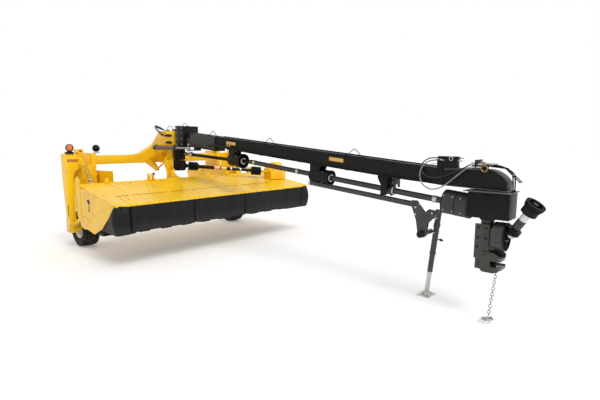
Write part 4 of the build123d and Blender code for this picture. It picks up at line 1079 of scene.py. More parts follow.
        spots = [(x, y, deck_z(y)) for x in (-2.36, -1.45, -0.75, 0.75, 1.42, 2.05, 2.36)
            for y in (HINGE_Y + 0.14, DECK_REAR_Y - 0.1)]
        bolts("deck_bolts", "header", (0, -DECK_SLOPE, 1), 0.009, spots, "black_plastic")
        return {"FINISHED"}


# ---- Ends of the header
ARM_BASE = (ahead(0.095), 0.52)
ARM_TIP = (ARM_BASE[0] - 0.47, ARM_BASE[1] + 0.23)


class MOWER_OT_header_ends(bpy.types.Operator):
    """Add the end shields' folds, bolts, latch handles, blank plates and pin heads"""
    bl_idname = "mower.header_ends"
    bl_label = "Header ends"

    def execute(self, context):
        for side, name in ((1, "left"), (-1, "right")):
            outer = side * HEADER_HALF
            plate_x = side * (HEADER_HALF - 0.149)
            shield = Shape()
            shield.plate(side_view(outer, (1.575, 0.945), (1.59, 0.965), (2.445, 1.196),
                (2.455, 1.178)), (side * 0.004, 0, 0), 0.001)
            shield.rod(*side_view(outer, (1.275, 0.606), (1.59, 0.955)), 0.007, sides=10)
            shield.rod(*side_view(outer, (1.27, 0.6), (1.56, 0.553)), 0.006, sides=10)
            shield.rod(*side_view(outer, (1.56, 0.553), (1.885, 0.69)), 0.006, sides=10)
            shield.rod(*side_view(outer, (1.89, 0.69), (2.48, 1.16)), 0.006, sides=10)
            shield.plate(side_view(plate_x, (1.3, 0.62), (0.62, 0.62), (0.56, 0.7), (0.56, 0.78),
                (1.05, 0.7), (1.3, 0.7)), (side * 0.01, 0, 0))
            shield.plate(side_view(plate_x, (0.6, 1.5), (0.5, 1.56), (0.4, 1.52), (0.33, 1.4),
                (0.33, 0.9), (0.42, 0.7), (0.6, 0.64)), (side * 0.008, 0, 0))
            shield.boss((plate_x, *ARM_TIP), (side, 0, 0), (0, 0.012, 0.014), (0.018, 0.052, 0.03),
                28)
            shield.made(name + "_shield_folds", "yellow_paint", "header")
            spots = side_view(outer, (1.66, 0.7), (1.8, 0.74), (1.47, 0.7), (1.66, 0.9),
                (2.05, 0.98), (2.3, 1.12), (1.36, 0.64))
            bolts(name + "_shield_bolts", "header", (side, 0, 0), 0.007, spots)
            spots = side_view(plate_x, (0.56, 1.16), (0.62, 0.95), (0.75, 1.22), (1.0, 1.22),
                (1.25, 1.22), (1.5, 1.22), (1.5, 0.95), (1.45, 0.65), (1.1, 0.62), (0.8, 0.58))
            bolts(name + "_end_plate_bolts", "header", (side, 0, 0), 0.01, spots)
            latch = Shape()
            at = vec(outer + side * 0.003, ahead(1.385), 0)
            latch.rod(at + vec(0, 0, 0.975), at + vec(0, 0, 1.165), 0.006, sides=10)
            latch.turned(at + vec(0, 0, 1.16), (side, 0, 0), [(-0.002, 0), (-0.002, 0.022),
                (0.006, 0.026), (0.022, 0.022), (0.026, 0.012), (0.027, 0)], 20)
            latch.block(at + vec(-0.004, -0.018, 1.105), at + vec(0.014, 0.03, 1.135), 0.003)
            latch.turned(at + vec(0, 0, 0.972), (side, 0, 0), [(-0.002, 0), (-0.002, 0.016),
                (0.01, 0.016), (0.012, 0)], 16)
            latch.made(name + "_latch_handle", "black_plastic", "header")
        return {"FINISHED"}


# ---- Cutterbar, discs and rolls
DISC_COUNT = sum(name.startswith("cutter_disc_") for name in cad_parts)
ROLLS = (("upper_roll", 1), ("lower_roll", -1))


class MOWER_OT_cutterbar(bpy.types.Operator):
    """Finish the cutting discs with their knives' bolts, and the bar with its guards"""
    bl_idname = "mower.cutterbar"
    bl_label = "Cutterbar"

    def execute(self, context):
        bar_low, bar_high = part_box("cutterbar")
        guards = Shape()
        studs = []
        for index in range(DISC_COUNT):
            node = f"cutter_disc_{index + 1:02d}"
            softened(node, 0.002, "worn_steel", node)
            low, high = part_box(node)
            x, y = (low.x + high.x) / 2, (low.y + high.y) / 2
            top = high.z
            along_x = high.x - low.x > high.y - low.y
            caps = Shape()
            caps.turned((x, y, top - 0.001), (0, 0, 1), [(0, 0), (0, 0.052), (0.006, 0.048),
                (0.01, 0.03), (0.016, 0.022), (0.017, 0)], 24)
            for angle in spread(4, pi / 4):
                caps.bolt((x + 0.045 * cos(angle), y + 0.045 * sin(angle), top + 0.003), (0, 0, 1),
                    0.008)
            for end in (-1, 1):
                reach = 0.178 * end
                spot = (x + (reach if along_x else 0), y + (0 if along_x else reach), low.z + 0.024)
                caps.bolt(spot, (0, 0, 1), 0.013)
            caps.made(node + "_cap", "steel", node)
            guards.plate([(x - 0.062, bar_low.y + 0.006, 0.6), (x + 0.062, bar_low.y + 0.006, 0.6),
                (x + 0.095, bar_low.y + 0.085, 0.612), (x - 0.095, bar_low.y + 0.085, 0.612)],
                (0, 0, 0.01), 0.003)
            studs += [(x + edge * 0.085, y + back, bar_high.z - 0.001) for edge in (-1, 1)
                for back in (0.14, 0.18)]
            seam = x + 0.235
            if index < DISC_COUNT - 1:
                guards.block((seam - 0.006, bar_low.y + 0.045, 0.612),
                    (seam + 0.006, bar_high.y - 0.004, 0.62), 0.002)
        guards.made("cutterbar_guards", "cast", "header")
        bolts("cutterbar_bolts", "header", (0, 0, 1), 0.009,
            [spot for spot in studs if abs(spot[0]) < 2.4])
        return {"FINISHED"}


class MOWER_OT_rolls(bpy.types.Operator):
    """Wind the chevron bars round both conditioner rolls, and add their bearings"""
    bl_idname = "mower.rolls"
    bl_label = "Conditioner rolls"

    def execute(self, context):
        count = sizes().chevrons
        for node, hand in ROLLS:
            low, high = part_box(node)
            centre = (low + high) / 2
            half = 1.48
            bars = Shape()
            steps = 14
            for index in range(count):
                angle = index * 2 * pi / count
                for way in (-1, 1):
                    turn = Matrix.Translation(centre) @ Matrix.Rotation(angle, 4, "X")
                    section = [turn @ vec(0, y, z) for y, z in ((-0.014, 0.108), (0.014, 0.108),
                        (0.009, 0.1205), (-0.009, 0.1205))]
                    face = bars.mesh.faces.new([bars.mesh.verts.new(point) for point in section])
                    bmesh.ops.spin(bars.mesh, geom=[face], cent=centre, axis=(1, 0, 0), steps=steps,
                        angle=way * hand * radians(75), dvec=(way * half / steps, 0, 0),
                        use_merge=False)
            bars.made(node + "_bars", "rubber", node)
            ends = Shape()
            for side in (-1, 1):
                ends.turned(centre + vec(side * 1.49, 0, 0), (side, 0, 0),
                    [(0, 0.031), (0, 0.1), (-0.006, 0.112), (-0.01, 0.112), (-0.01, 0.031)], 32,
                    closed=True)
            ends.made(node + "_end_discs", "worn_steel", node)
        housings = Shape()
        spots = []
        for node, hand in ROLLS:
            low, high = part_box(node)
            y, z = (low.y + high.y) / 2, (low.z + high.z) / 2
            for side in (-1, 1):
                x = side * 1.522
                housings.turned((x, y, z), (side, 0, 0), [(0, 0.034), (0, 0.072), (0.014, 0.072),
                    (0.026, 0.055), (0.034, 0.055), (0.034, 0.034)], 28, closed=True)
                spots += [(x + side * 0.012, y + 0.06 * cos(a), z + 0.06 * sin(a), side)
                    for a in (pi / 4, 3 * pi / 4, 5 * pi / 4, 7 * pi / 4)]
        housings.made("roll_bearings", "cast", "header")
        for side in (-1, 1):
            bolts(f"roll_bearing_bolts_{'left' if side > 0 else 'right'}", "header", (side, 0, 0),
                0.008, [spot[:3] for spot in spots if spot[3] == side])
        return {"FINISHED"}


# ---- Float springs
SPRING_TOP = (ahead(0.33), 1.81)
SPRING_BOTTOM = (ahead(0.69), 1.41)
SPRING_X = 2.1


class MOWER_OT_springs(bpy.types.Operator):
    """Wind the float springs between the legs and the header, with their end fittings"""
    bl_idname = "mower.springs"
    bl_label = "Float springs"

    def execute(self, context):
        turns = sizes().spring_turns
        coils, ends = Shape(), Shape()
        wire, radius = 0.01, 0.046
        for side in (-1, 1):
            top = Vector((side * SPRING_X, *SPRING_TOP))
            bottom = Vector((side * SPRING_X, *SPRING_BOTTOM))
            way = (bottom - top).normalized()
            start, end = top + way * 0.055, bottom - way * 0.075
            at = stood(start, way)
            ring = bmesh.ops.create_circle(coils.mesh, cap_ends=False, segments=8, radius=wire,
                matrix=at @ Matrix.Translation((radius, 0, 0)) @ Matrix.Rotation(pi / 2, 4, "X"))
            edges = list({edge for vertex in ring["verts"] for edge in vertex.link_edges})
            steps = turns * 20
            bmesh.ops.spin(coils.mesh, geom=ring["verts"] + edges, cent=start, axis=way,
                angle=2 * pi * turns, steps=steps, dvec=(end - start) / steps, use_merge=False)
            for at_end, out in ((start, -way), (end, way)):
                ends.rod(at_end - out * 0.02, at_end + out * 0.006, radius - wire * 0.6, sides=20,
                    bevel=0.002)
                ends.rod(at_end, at_end + out * 0.06, 0.0095, sides=14)
            ends.rod(start, end, radius - wire * 1.5, sides=20)
            for at_end, out in ((start, -way), (end, way)):
                ends.rod(at_end + out * 0.014, at_end + out * 0.026, 0.016, sides=6)
            ends.rod(bottom - way * 0.02 + vec(-0.03, 0, 0), bottom - way * 0.02 + vec(0.03, 0, 0),
                0.012, sides=14)
        coils.made("float_spring_coils", "yellow_paint", "trail_frame", ("float_springs",), 80)
        ends.made("float_spring_ends", "steel", "trail_frame")
        return {"FINISHED"}


# ---- Marker lamps
class MOWER_OT_lamps(bpy.types.Operator):
    """Make the four marker lamps: amber ones at the ends, rear-facing red ones on wire feet"""
    bl_idname = "mower.lamps"
    bl_label = "Marker lamps"

    def execute(self, context):
        housings, glass_amber, glass_red, wires = Shape(), Shape(), Shape(), []
        frame_top = LEG_HIGH.z
        back = [(-0.062, 0), (-0.058, 0.024), (-0.042, 0.052), (-0.018, 0.072), (0.012, 0.08),
            (0.026, 0.079), (0.03, 0.075), (0.022, 0.07), (0.02, 0.06), (0.018, 0)]
        glass = [(0.019, 0), (0.019, 0.062), (0.026, 0.062), (0.036, 0.054), (0.044, 0.032),
            (0.046, 0)]
        for side in (-1, 1):
            at = vec(side * 2.25, ahead(0.04) + 0.01, frame_top + 0.125)
            housings.turned(at, (0, -1, 0), back, 32)
            housings.block(at + vec(-0.082, -0.046, -0.125), at + vec(0.068, 0.046, -0.082), 0.006)
            housings.plate([at + vec(-0.044, -0.012, -0.09), at + vec(0.044, -0.012, -0.09),
                at + vec(0.042, -0.012, -0.03), at + vec(-0.042, -0.012, -0.03)], (0, 0.03, 0),
                0.004)
            glass_amber.turned(at, (0, -1, 0), glass, 32)
            inner = vec(side * 1.61, ahead(-0.18) + 0.01, frame_top + 0.108)
            housings.turned(inner, (0, 1, 0), back, 32)
            housings.block(inner + vec(-0.045, -0.03, -0.108), inner + vec(0.045, 0.034, -0.094),
                0.004)
            glass_red.turned(inner, (0, 1, 0), glass, 32)
            for edge in (-1, 1):
                wires.append([inner + vec(edge * 0.03, 0.0, -0.062), inner + vec(edge * 0.054, 0.0,
                    -0.078), inner + vec(edge * 0.068, 0.0, -0.095), inner + vec(edge * 0.072, 0.0,
                    -0.11)])
        housings.made("lamp_housings", "black_plastic", "trail_frame", ("marker_lamps",))
        finished("trail_frame", (glass_amber, "amber_lenses", "amber"),
            (glass_red, "red_lenses", "red"))
        strand("lamp_wire_feet", wires, 0.004, "black_plastic", "trail_frame")
        return {"FINISHED"}


# ---- Trail frame
POST_X, STUB_X = 2.205, 1.752  # outer and inner weld lines behind a leg


class MOWER_OT_trail_frame(bpy.types.Operator):
    """Round the trail frame's edges, and add its reflectors, pins, tabs, pipes and bolts"""
    bl_idname = "mower.trail_frame"
    bl_label = "Trail frame"

    def execute(self, context):
        for node in ("pivot_tower", "left_leg", "right_leg"):
            softened(node, sizes().edge_round, "yellow_paint", "trail_frame")
        softened("crossbeam", sizes().edge_round, "yellow_paint", "trail_frame", reach=2.275)
        front = ahead(0.05)
        yellow, strips, dark, pins, red, seams = (Shape() for _ in range(6))
        pipes = []
        for side in (-1, 1):
            outer = side * -LEG_LOW.x
            yellow.plate([(side * 1.985, front - 0.006, 1.953), (side * 2.15, front - 0.006, 1.953),
                (side * 2.15, front - 0.006, 2.082), (side * 2.132, front - 0.006, 2.1),
                (side * 2.003, front - 0.006, 2.1), (side * 1.985, front - 0.006, 2.082)],
                (0, 0.006, 0))
            yellow.block((side * 2.145, front - 0.006, 1.953), (side * 2.151, front + 0.05, 2.09),
                0.002)
            yellow.block((side * 2.255, front - 0.01, 1.995), (side * 2.345, front + 0.08, 2.006),
                0.003)
            red.block((side * 2.02, front - 0.01, 2.04), (side * 2.07, front - 0.005, 2.075), 0.002)
            red.block((side * 2.092, front - 0.01, 2.0), (side * 2.128, front - 0.005, 2.03), 0.002)
            yellow.plate(front_view(-0.11, (side * 1.745, 1.1), (side * 2.215, 1.1),
                (side * 2.215, 1.76), (side * 1.745, 1.76)), (0, 0.01, 0))
            strips.block((side * 2.035, front - 0.004, 1.832), (side * 2.318, front + 0.001, 1.892),
                0.001)
            dark.block((outer, ahead(0.05), 0.686), (outer + side * 0.003, ahead(0.018), 0.932),
                0.001)
            dark.turned((side * 1.702, ahead(-0.152), 1.664), (0, -1, 0),
                [(0, 0), (0, 0.025), (0.001, 0.025), (0.001, 0)], 24)
            seams.turned((side * 1.702, ahead(-0.15), 1.664), (0, -1, 0),
                [(0, 0.025), (0, 0.033), (0.004, 0.031), (0.004, 0.025)], 24, closed=True)
            for y, z, size in ((*ARM_BASE, 0.026), (ahead(0), AXLE_Z, 0.04),
                    (ahead(0.1), 1.64, 0.024)):
                pins.boss((outer, y, z), (side, 0, 0), (-0.002, 0.007, 0.01), (0, size, size * 0.8),
                    26)
                pins.bolt((outer + side * 0.009, y, z), (side, 0, 0), size * 0.45)
            for z in (1.747, 1.947):
                seams.rod(*side_view(side * POST_X, (-0.2, z), (-0.396, z)), 0.007, sides=8)
            seams.rod(*side_view(side * POST_X, (-0.198, 1.75), (-0.198, 1.944)), 0.006, sides=8)
            for x in (1.643, STUB_X):
                seams.rod(*side_view(side * x, (-0.152, 1.742), (-0.396, 1.742)), 0.007, sides=8)
            red.turned((side * 2.05, ahead(-0.4), 1.85), (0, 1, 0),
                [(-0.001, 0), (-0.001, 0.04), (0.006, 0.038), (0.009, 0.03), (0.009, 0)], 28)
            pipes.append(front_view(-0.414, (side * 0.33, 1.905), (side * 0.9, 1.905),
                (side * 1.5, 1.905), (side * 1.86, 1.905), (side * 1.925, 1.905),
                (side * 1.945, 1.89)))
            for x in (0.5, 1.0, 1.45, 1.8):
                dark.block((side * (x - 0.018), ahead(-0.398), 1.888),
                    (side * (x + 0.018), ahead(-0.424), 1.922), 0.003)
            for z in (1.12, 1.22, 1.55):
                pins.bolt((side * STUB_X, ahead(-0.62), z), (side, 0, 0), 0.011)
            pins.turned((outer, ahead(-0.06), 0.62), (side, 0, 0), [(-0.001, 0), (-0.001, 0.016),
                (0.004, 0.012), (0.004, 0)], 18)
        for x in (-0.62, -0.5, 0.5, 0.62):
            for z in (1.8, 1.89):
                pins.bolt((x, ahead(-0.4), z), (0, 1, 0), 0.013)
        for x, y, z in ((-0.43, 0.215, 2.208), (-0.43, 0.215, 2.018)):
            out = 1 if z > 2.1 else -1
            pins.boss((x, ahead(y), z - out * 0.006), (0, 0, out), (0, 0.008, 0.011),
                (0, 0.027, 0.022), 24)
        plate_y = ahead(-0.402)
        yellow.block((-0.2, plate_y - 0.002, 1.79), (0.2, plate_y + 0.003, 1.91), 0.001)
        finished("trail_frame", (seams, "frame_welds", "yellow_paint"),
            (yellow, "frame_tabs", "yellow_paint"), (strips, "front_reflector_strips",
            "amber_strip"), (red, "red_reflectors", "red"),
            (dark, "frame_dark_strips", "black_plastic"), (pins, "frame_pins", "steel"))
        strand("frame_pipes", pipes, 0.007, "black_paint", "trail_frame")
        Shape().block((-0.045, plate_y + 0.003, 1.82), (0.125, plate_y + 0.0045, 1.885),
            0.0005).made("blank_rear_plate", "white_label", "trail_frame")
        return {"FINISHED"}


# ---- Pivot and gearboxes
KINGPIN_Y = ahead(0.6)
FITTING_X = -0.216


class MOWER_OT_pivot(bpy.types.Operator):
    """Make the pivot block's bolts, fittings and hose loops, and finish the two pivot gearboxes"""
    bl_idname = "mower.pivot"
    bl_label = "Pivot and gearboxes"

    def execute(self, context):
        side_bolts = [(-0.2, ahead(a), z) for a in (0.84, 1.04) for z in (2.2, 2.33, 2.46, 2.56)]
        bolts("pivot_block_bolts", "tongue", (-1, 0, 0), 0.014, side_bolts, "worn_steel")
        bolts("pivot_block_bolts_far", "tongue", (1, 0, 0), 0.014,
            [(-x, y, z) for x, y, z in side_bolts])
        cap = Shape()
        top = vec(0, KINGPIN_Y, 2.61)
        cap.turned(top, (0, 0, 1), [(-0.004, 0), (-0.004, 0.088), (0.008, 0.088), (0.012, 0.08),
            (0.012, 0.05), (0.02, 0.046), (0.02, 0)], 36)
        for angle in spread(6):
            cap.bolt(top + vec(0.069 * cos(angle), 0.069 * sin(angle), 0.011), (0, 0, 1), 0.009)
        cap.rod(top + vec(0, 0, 0.018), top + vec(0, 0, 0.034), 0.005, 0.003, 10)
        cap.made("kingpin_cap", "black_paint", "tongue")
        fittings, silver, brass = Shape(), Shape(), Shape()
        for z in (2.4, 2.24):
            fittings.rod(*side_view(FITTING_X, (0.36, z), (0.655, z)), 0.0075, sides=12)
            for distance in (0.38, 0.49, 0.6):
                fittings.rod(*side_view(FITTING_X, (distance - 0.02, z), (distance + 0.02, z)),
                    0.0155, sides=6, bevel=0.001)
                fittings.rod(*front_view(distance, (FITTING_X + 0.016, z), (FITTING_X - 0.02, z)),
                    0.01, sides=12)
            silver.rod(*side_view(FITTING_X, (0.622, z), (0.648, z)), 0.013, sides=6)
            fittings.block((-0.214, ahead(0.4), z - 0.03), (-0.199, ahead(0.6), z + 0.03), 0.003)
        fittings.made("pivot_fittings", "black_plastic", "trail_frame")
        wire = [course((-0.12, 0.3, 2.505), (-0.12, 0.3, 2.575), (-0.1, 0.345, 2.628),
            (-0.08, 0.41, 2.628), (-0.07, 0.45, 2.58), (-0.07, 0.45, 2.505)),
            course((0.12, 0.3, 2.505), (0.12, 0.3, 2.575), (0.1, 0.345, 2.612), (0.08, 0.41, 2.612),
            (0.07, 0.45, 2.57), (0.07, 0.45, 2.505))]
        strand("tower_wire_loops", wire, 0.006, "black_paint", "trail_frame")
        loops = []
        for shift, drop in ((0.0, 0.0), (0.024, -0.016), (0.012, 0.02)):
            loops.append(course((-0.236, 0.37, 2.4 + drop), (-0.25 - shift, 0.3, 2.415 + drop),
                (-0.255 - shift, 0.2, 2.47 + drop), (-0.255 - shift, 0.09, 2.54 + drop),
                (-0.25 - shift, 0.01, 2.595 + drop), (-0.235 - shift, -0.05, 2.622 + drop),
                (-0.2 - shift, -0.05, 2.62 + drop), (-0.17, 0.02, 2.59 + drop),
                (-0.15, 0.1, 2.56 + drop), (-0.13, 0.17, 2.535), (-0.12, 0.22, 2.53),
                (-0.12, 0.34, 2.53)))
            silver.rod(*top_view(2.53, (-0.122, 0.2), (-0.12, 0.25)), 0.0135, sides=8)
            brass.rod((-0.245, ahead(0.325), 2.408 + drop), (-0.236, ahead(0.372), 2.4 + drop),
                0.0135, sides=8)
        strand("pivot_hoses", loops, 0.0095, "hose", "trail_frame")
        brass.block((-0.15, ahead(0.31), 2.508), (-0.09, ahead(0.35), 2.545), 0.003)
        finished("trail_frame", (brass, "pivot_hose_nuts", "brass"), (silver, "pivot_fitting_nuts",
            "steel"))

        for name, out in (("swivel_gearbox", -1), ("upper_gearbox", 1)):
            boxes = Shape()
            low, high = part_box(name)
            joint_z = high.z if out < 0 else low.z
            radius = 0.128 if out < 0 else 0.118
            for z in (joint_z + out * 0.03, (low.z + high.z) / 2):
                boxes.collar((0, KINGPIN_Y, z), (0, 0, out), -0.012, 0.012, radius - 0.002,
                    radius + 0.014, 36)
            for angle in spread(8, 0.2):
                spot = vec((radius + 0.006) * cos(angle), KINGPIN_Y + (radius + 0.006) * sin(angle),
                    joint_z + out * 0.018)
                boxes.bolt(spot, (0, 0, -out), 0.008)
                boxes.block((-0.006, radius - 0.01, low.z + 0.03),
                    (0.006, radius + 0.018, high.z - 0.03), 0.003,
                    Matrix.Translation((0, KINGPIN_Y, 0)) @ Matrix.Rotation(angle + 0.3, 4, "Z"))
            body = "trail_frame" if out < 0 else "tongue"
            boxes.made(name + "_ribs", "cast", body)
        fork = Shape()
        for z, out in ((2.515, 1), (2.175, -1)):
            fork.collar((0, KINGPIN_Y, z), (0, 0, out), 0, 0.006, 0.047, 0.095, 32)
        fork.made("pivot_bearing_rings", "steel", "trail_frame")
        return {"FINISHED"}


# ---- Tongue
class MOWER_OT_tongue(bpy.types.Operator):
    """Round the tongue's edges, and add its grey panel, hoops, reflectors, pipe and weld seams"""
    bl_idname = "mower.tongue"
    bl_label = "Tongue"

    def execute(self, context):
        softened("tongue_beam", sizes().edge_round, "black_paint", "tongue")
        panel, reflectors, clips, tags, seams, steel = (Shape() for _ in range(6))
        for side in (-1, 1):
            x = side * 0.131
            panel.plate(side_view(x, (1.128, 2.185), (2.18, 2.094), (2.18, 2.366), (1.29, 2.444),
                (1.262, 2.33), (1.128, 2.345)), (side * 0.005, 0, 0), 0.0015)
            reflector_x = side * TONGUE_HALF
            for distance in (5.245, 2.55):
                tilt = 0.09 * 0.285
                z = beam_top(distance) - 0.07
                reflectors.plate(side_view(reflector_x, (distance, z), (distance + 0.285, z - tilt),
                    (distance + 0.285, z - tilt - 0.06), (distance, z - 0.06)),
                    (side * 0.005, 0, 0), 0.001)
            for share in (0.03, 0.97):
                first = vec(reflector_x, ahead(2.22), beam_top(2.22) - TONGUE_HEIGHT * share)
                last = vec(reflector_x, ahead(7.15), beam_top(7.15) - TONGUE_HEIGHT * share)
                seams.rod(first, last, 0.0045, sides=8)
        seams.rod(*side_view(-0.11, (7.19, 1.93), (7.19, 1.7)), 0.006, sides=8)
        finished("tongue", (panel, "grey_side_panels", "grey_paint"),
            (reflectors, "side_reflectors", "side_amber"))
        hoops = []
        for distance, spread, height in ((0.98, 0.1, 0.078), (2.05, 0.13, 0.115),
                (3.8, 0.14, 0.115), (5.72, 0.14, 0.115)):
            base = 2.612 if distance < 1.1 else beam_top(distance)
            fall = 0.0 if distance < 1.1 else 0.09
            hoops.append([(-0.075, ahead(distance + way * spread * share),
                base + height * (1 - abs(share)) - fall * way * spread * share + 0.003)
                for way, share in ((-1, 1.35), (-1, 1.0), (-1, 1.0), (-1, 0.1), (1, 0.1), (1, 1.0),
                (1, 1.0), (1, 1.35))])
            for way in (-1, 1):
                at = ahead(distance + way * spread * 1.15)
                z = base - fall * way * spread * 1.15
                clips.block((-0.095, at - 0.028, z - 0.002), (-0.055, at + 0.028, z + 0.004),
                    0.0015)
                clips.bolt((-0.064, at, z + 0.004), (0, 0, 1), 0.006)
        strand("hose_hoops", hoops, 0.0055, "black_paint", "tongue")
        pipes = [side_view(x, (1.33, 2.235 - drop), (1.9, 2.206 - drop), (2.35, 2.155 - drop),
            (3.2, 2.055 - drop), (5.0, 1.893 - drop), (6.9, 1.722 - drop), (7.02, 1.735 - drop))
            for x, drop in ((-0.1215, 0.0), (-0.1215, -0.022))]
        top_line = side_view(0.03, (2.3, beam_top(2.3) + 0.009), (4.5, beam_top(4.5) + 0.009),
            (6.6, beam_top(6.6) + 0.009), (7.12, beam_top(7.12) + 0.012))
        strand("tongue_pipes", pipes + [top_line], 0.0085, "black_paint", "tongue")
        conduit = side_view(-0.136, (1.95, 2.185), (2.2, 2.178), (2.5, 2.168), (2.7, 2.15),
            (2.84, 2.105), (2.95, 2.05))
        strand("tongue_conduit", [conduit], 0.018, "black_paint", "tongue")
        for distance in (1.6, 2.6, 3.6, 4.6, 5.6, 6.5):
            z = 2.055 - (distance - 3.2) * 0.0897 if distance > 2.3 else 2.222
            clips.block((-0.134, ahead(distance) - 0.016, z - 0.014),
                (-0.109, ahead(distance) + 0.016, z + 0.036), 0.003)
        for distance in (2.58, 2.66):
            tags.block((-0.1355, ahead(distance), 2.165), (-0.1325, ahead(distance + 0.03), 2.205),
                0.0005)
        finished("tongue", (clips, "tongue_clips", "black_plastic"),
            (tags, "pipe_tags", "yellow_label"), (seams, "tongue_seams", "black_paint"))
        swing_pin = vec(-0.335, ahead(1.51), 2.12)
        for out in (-1, 1):
            steel.boss(swing_pin + vec(0, 0, out * 0.07), (0, 0, out), (-0.002, 0.008, 0.012),
                (0, 0.03, 0.024), 24)
        steel.rod(swing_pin + vec(0, 0, 0.08), swing_pin + vec(0, 0, 0.105), 0.006, sides=10)
        steel.made("swing_pin_caps", "steel", "tongue")
        return {"FINISHED"}


# ---- Long driveshaft
class MOWER_OT_driveline(bpy.types.Operator):
    """Make the driveshaft's open guards, bearings, joints and stay fittings"""
    bl_idname = "mower.driveline"
    bl_label = "Long driveshaft"

    def execute(self, context):
        softened("driveline_hangers", 0.003, "black_paint", "tongue")
        # The jack stand takes the lightened black, a painted highlight.
        softened("jack_stand", 0.003, "tube_paint", "tongue")
        guards, bearings, vanes = Shape(), Shape(), Shape()
        fall = SHAFT_WAY
        for front, radius in ((2.95, 0.142), (5.2, 0.122)):
            centre = vec(0, ahead(front), shaft_z(front) if front > 3 else 1.876)
            guards.turned(centre, fall, [(-0.3, 0.06), (-0.3, radius - 0.012), (-0.286, radius),
                (-0.03, radius), (-0.026, radius + 0.006), (0.004, radius + 0.006),
                (0.004, radius - 0.006), (-0.2, radius - 0.006), (-0.2, 0.06)], 44, closed=True)
            for index in range(8):
                turn = stood(centre, fall) @ Matrix.Rotation(index * pi / 4, 4, "Z")
                vanes.block((0.052, -0.004, -0.09), (radius - 0.002, 0.004, 0.002), 0.001, turn)
            bearings.boss(centre, fall, (-0.045, -0.004, 0.006), (0.047, 0.068, 0.06), 30)
            for angle in (0.8, 2.4, 3.9, 5.4):
                turn = stood(centre, fall) @ Matrix.Rotation(angle, 4, "Z")
                bearings.bolt(turn @ vec(radius + 0.008, 0, -0.118), turn.to_3x3() @ vec(1, 0, 0),
                    0.008)
        for distance, half, low, back in ((2.7, 0.078, 1.8, 0.1),
                (4.93, 0.078, shaft_z(4.93) - 0.14, 0.13)):
            under = beam_top(distance) - TONGUE_HEIGHT
            for side in (-1, 1):
                guards.plate(side_view(side * half, (distance - back, under),
                    (distance + back, under), (distance + 0.03, low + 0.1), (distance - 0.02, low),
                    (distance - 0.13, low), (distance - 0.13, low + 0.1)), (side * 0.008, 0, 0),
                    0.002)
        under = beam_top(6.25) - TONGUE_HEIGHT
        mid = shaft_z(6.25)
        for side in (-1, 1):
            guards.plate(side_view(side * 0.066, (6.15, under), (6.31, under), (6.31, mid - 0.085),
                (6.2, mid - 0.085), (6.21, mid + 0.06), (6.15, under - 0.05)), (side * 0.008, 0, 0),
                0.002)
        # The notched hanger plate is grey paint on a black hanger: painted light where the plate
        # catches the light.
        plate_front = Shape()
        under = beam_top(6.44) - TONGUE_HEIGHT
        mid = shaft_z(6.44)
        plate_front.plate(front_view(6.44, (-0.095, under), (0.085, under), (0.085, mid + 0.055),
            (0.03, mid + 0.055), (-0.012, mid + 0.125), (-0.05, mid + 0.055),
            (-0.095, mid + 0.055)), (0, -0.008, 0), 0.002)
        finished("tongue", (plate_front, "hanger_notched_plate_painted_lit", "grey_paint"),
            (guards, "hanger_guard_rims", "black_paint"),
            (vanes, "hanger_guard_vanes", "black_plastic"), (bearings, "hanger_bearings", "steel"))

        turning = Shape()
        for distance in (3.3, 4.45, 7.05):
            at = vec(0, ahead(distance), shaft_z(distance))
            turning.collar(at, fall, -0.03, 0.03, 0.044, 0.052, 28)
        turning.made("driveshaft_rings", "steel", "main_driveshaft")
        hanger = Shape()
        at = vec(0, ahead(6.395), shaft_z(6.38))
        hanger.turned(at, fall, [(-0.004, 0.05), (-0.004, 0.074), (0.012, 0.07), (0.012, 0.05)], 28,
            closed=True)
        for side in (-1, 1):
            for z in (0.12, 0.19):
                hanger.bolt((side * 0.042, ahead(6.392), at.z + z), (0, -1, 0), 0.009)
        hanger.made("hanger_plate_fittings", "steel", "tongue")
        stay = Shape()
        stay.rod(*side_view(-0.06, (6.74, shaft_z(6.8) - 0.119), (6.84, shaft_z(6.8) - 0.128)),
            0.022, sides=16, bevel=0.002)
        stay.rod(*side_view(-0.06, (4.785, shaft_z(4.8) - 0.139), (4.82, shaft_z(4.8) - 0.141)),
            0.048, sides=24, bevel=0.003)
        for x in (-0.03, -0.09):
            for distance, z in ((6.8, 1.36), (6.8, 1.26), (7.05, 1.3), (6.905, 0.985)):
                stay.bolt((x, ahead(distance), z), (-1 if x < -0.05 else 1, 0, 0), 0.012)
        stay.made("stay_fittings", "steel", "tongue")
        Shape().turned((-0.125, ahead(6.905), 0.985), (-1, 0, 0), [(-0.03, 0.036), (-0.03, 0.048),
            (0.02, 0.048), (0.03, 0.04), (0.032, 0)], 28).made("jack_pivot_cap", "black_plastic",
            "tongue")
        rear = Shape()
        for distance, z in ((0.9, 1.976), (1.02, 1.969)):
            universal_joint(rear, vec(0, ahead(distance), z), (0, -1, -0.052), 0.04, 0.012)
        rear.boss((0, ahead(1.1), 1.965), (0, -1, -0.052), (-0.02, 0.03, 0.05), (0.034, 0.06, 0.04),
            28)
        rear.made("rear_universal_joints", "steel", "tongue")
        return {"FINISHED"}


# ---- Jack
JACK_FOOT = vec(0.23, ahead(6.87), 0)
JACK_HEAD = vec(0.23, ahead(7.01), 1.29)


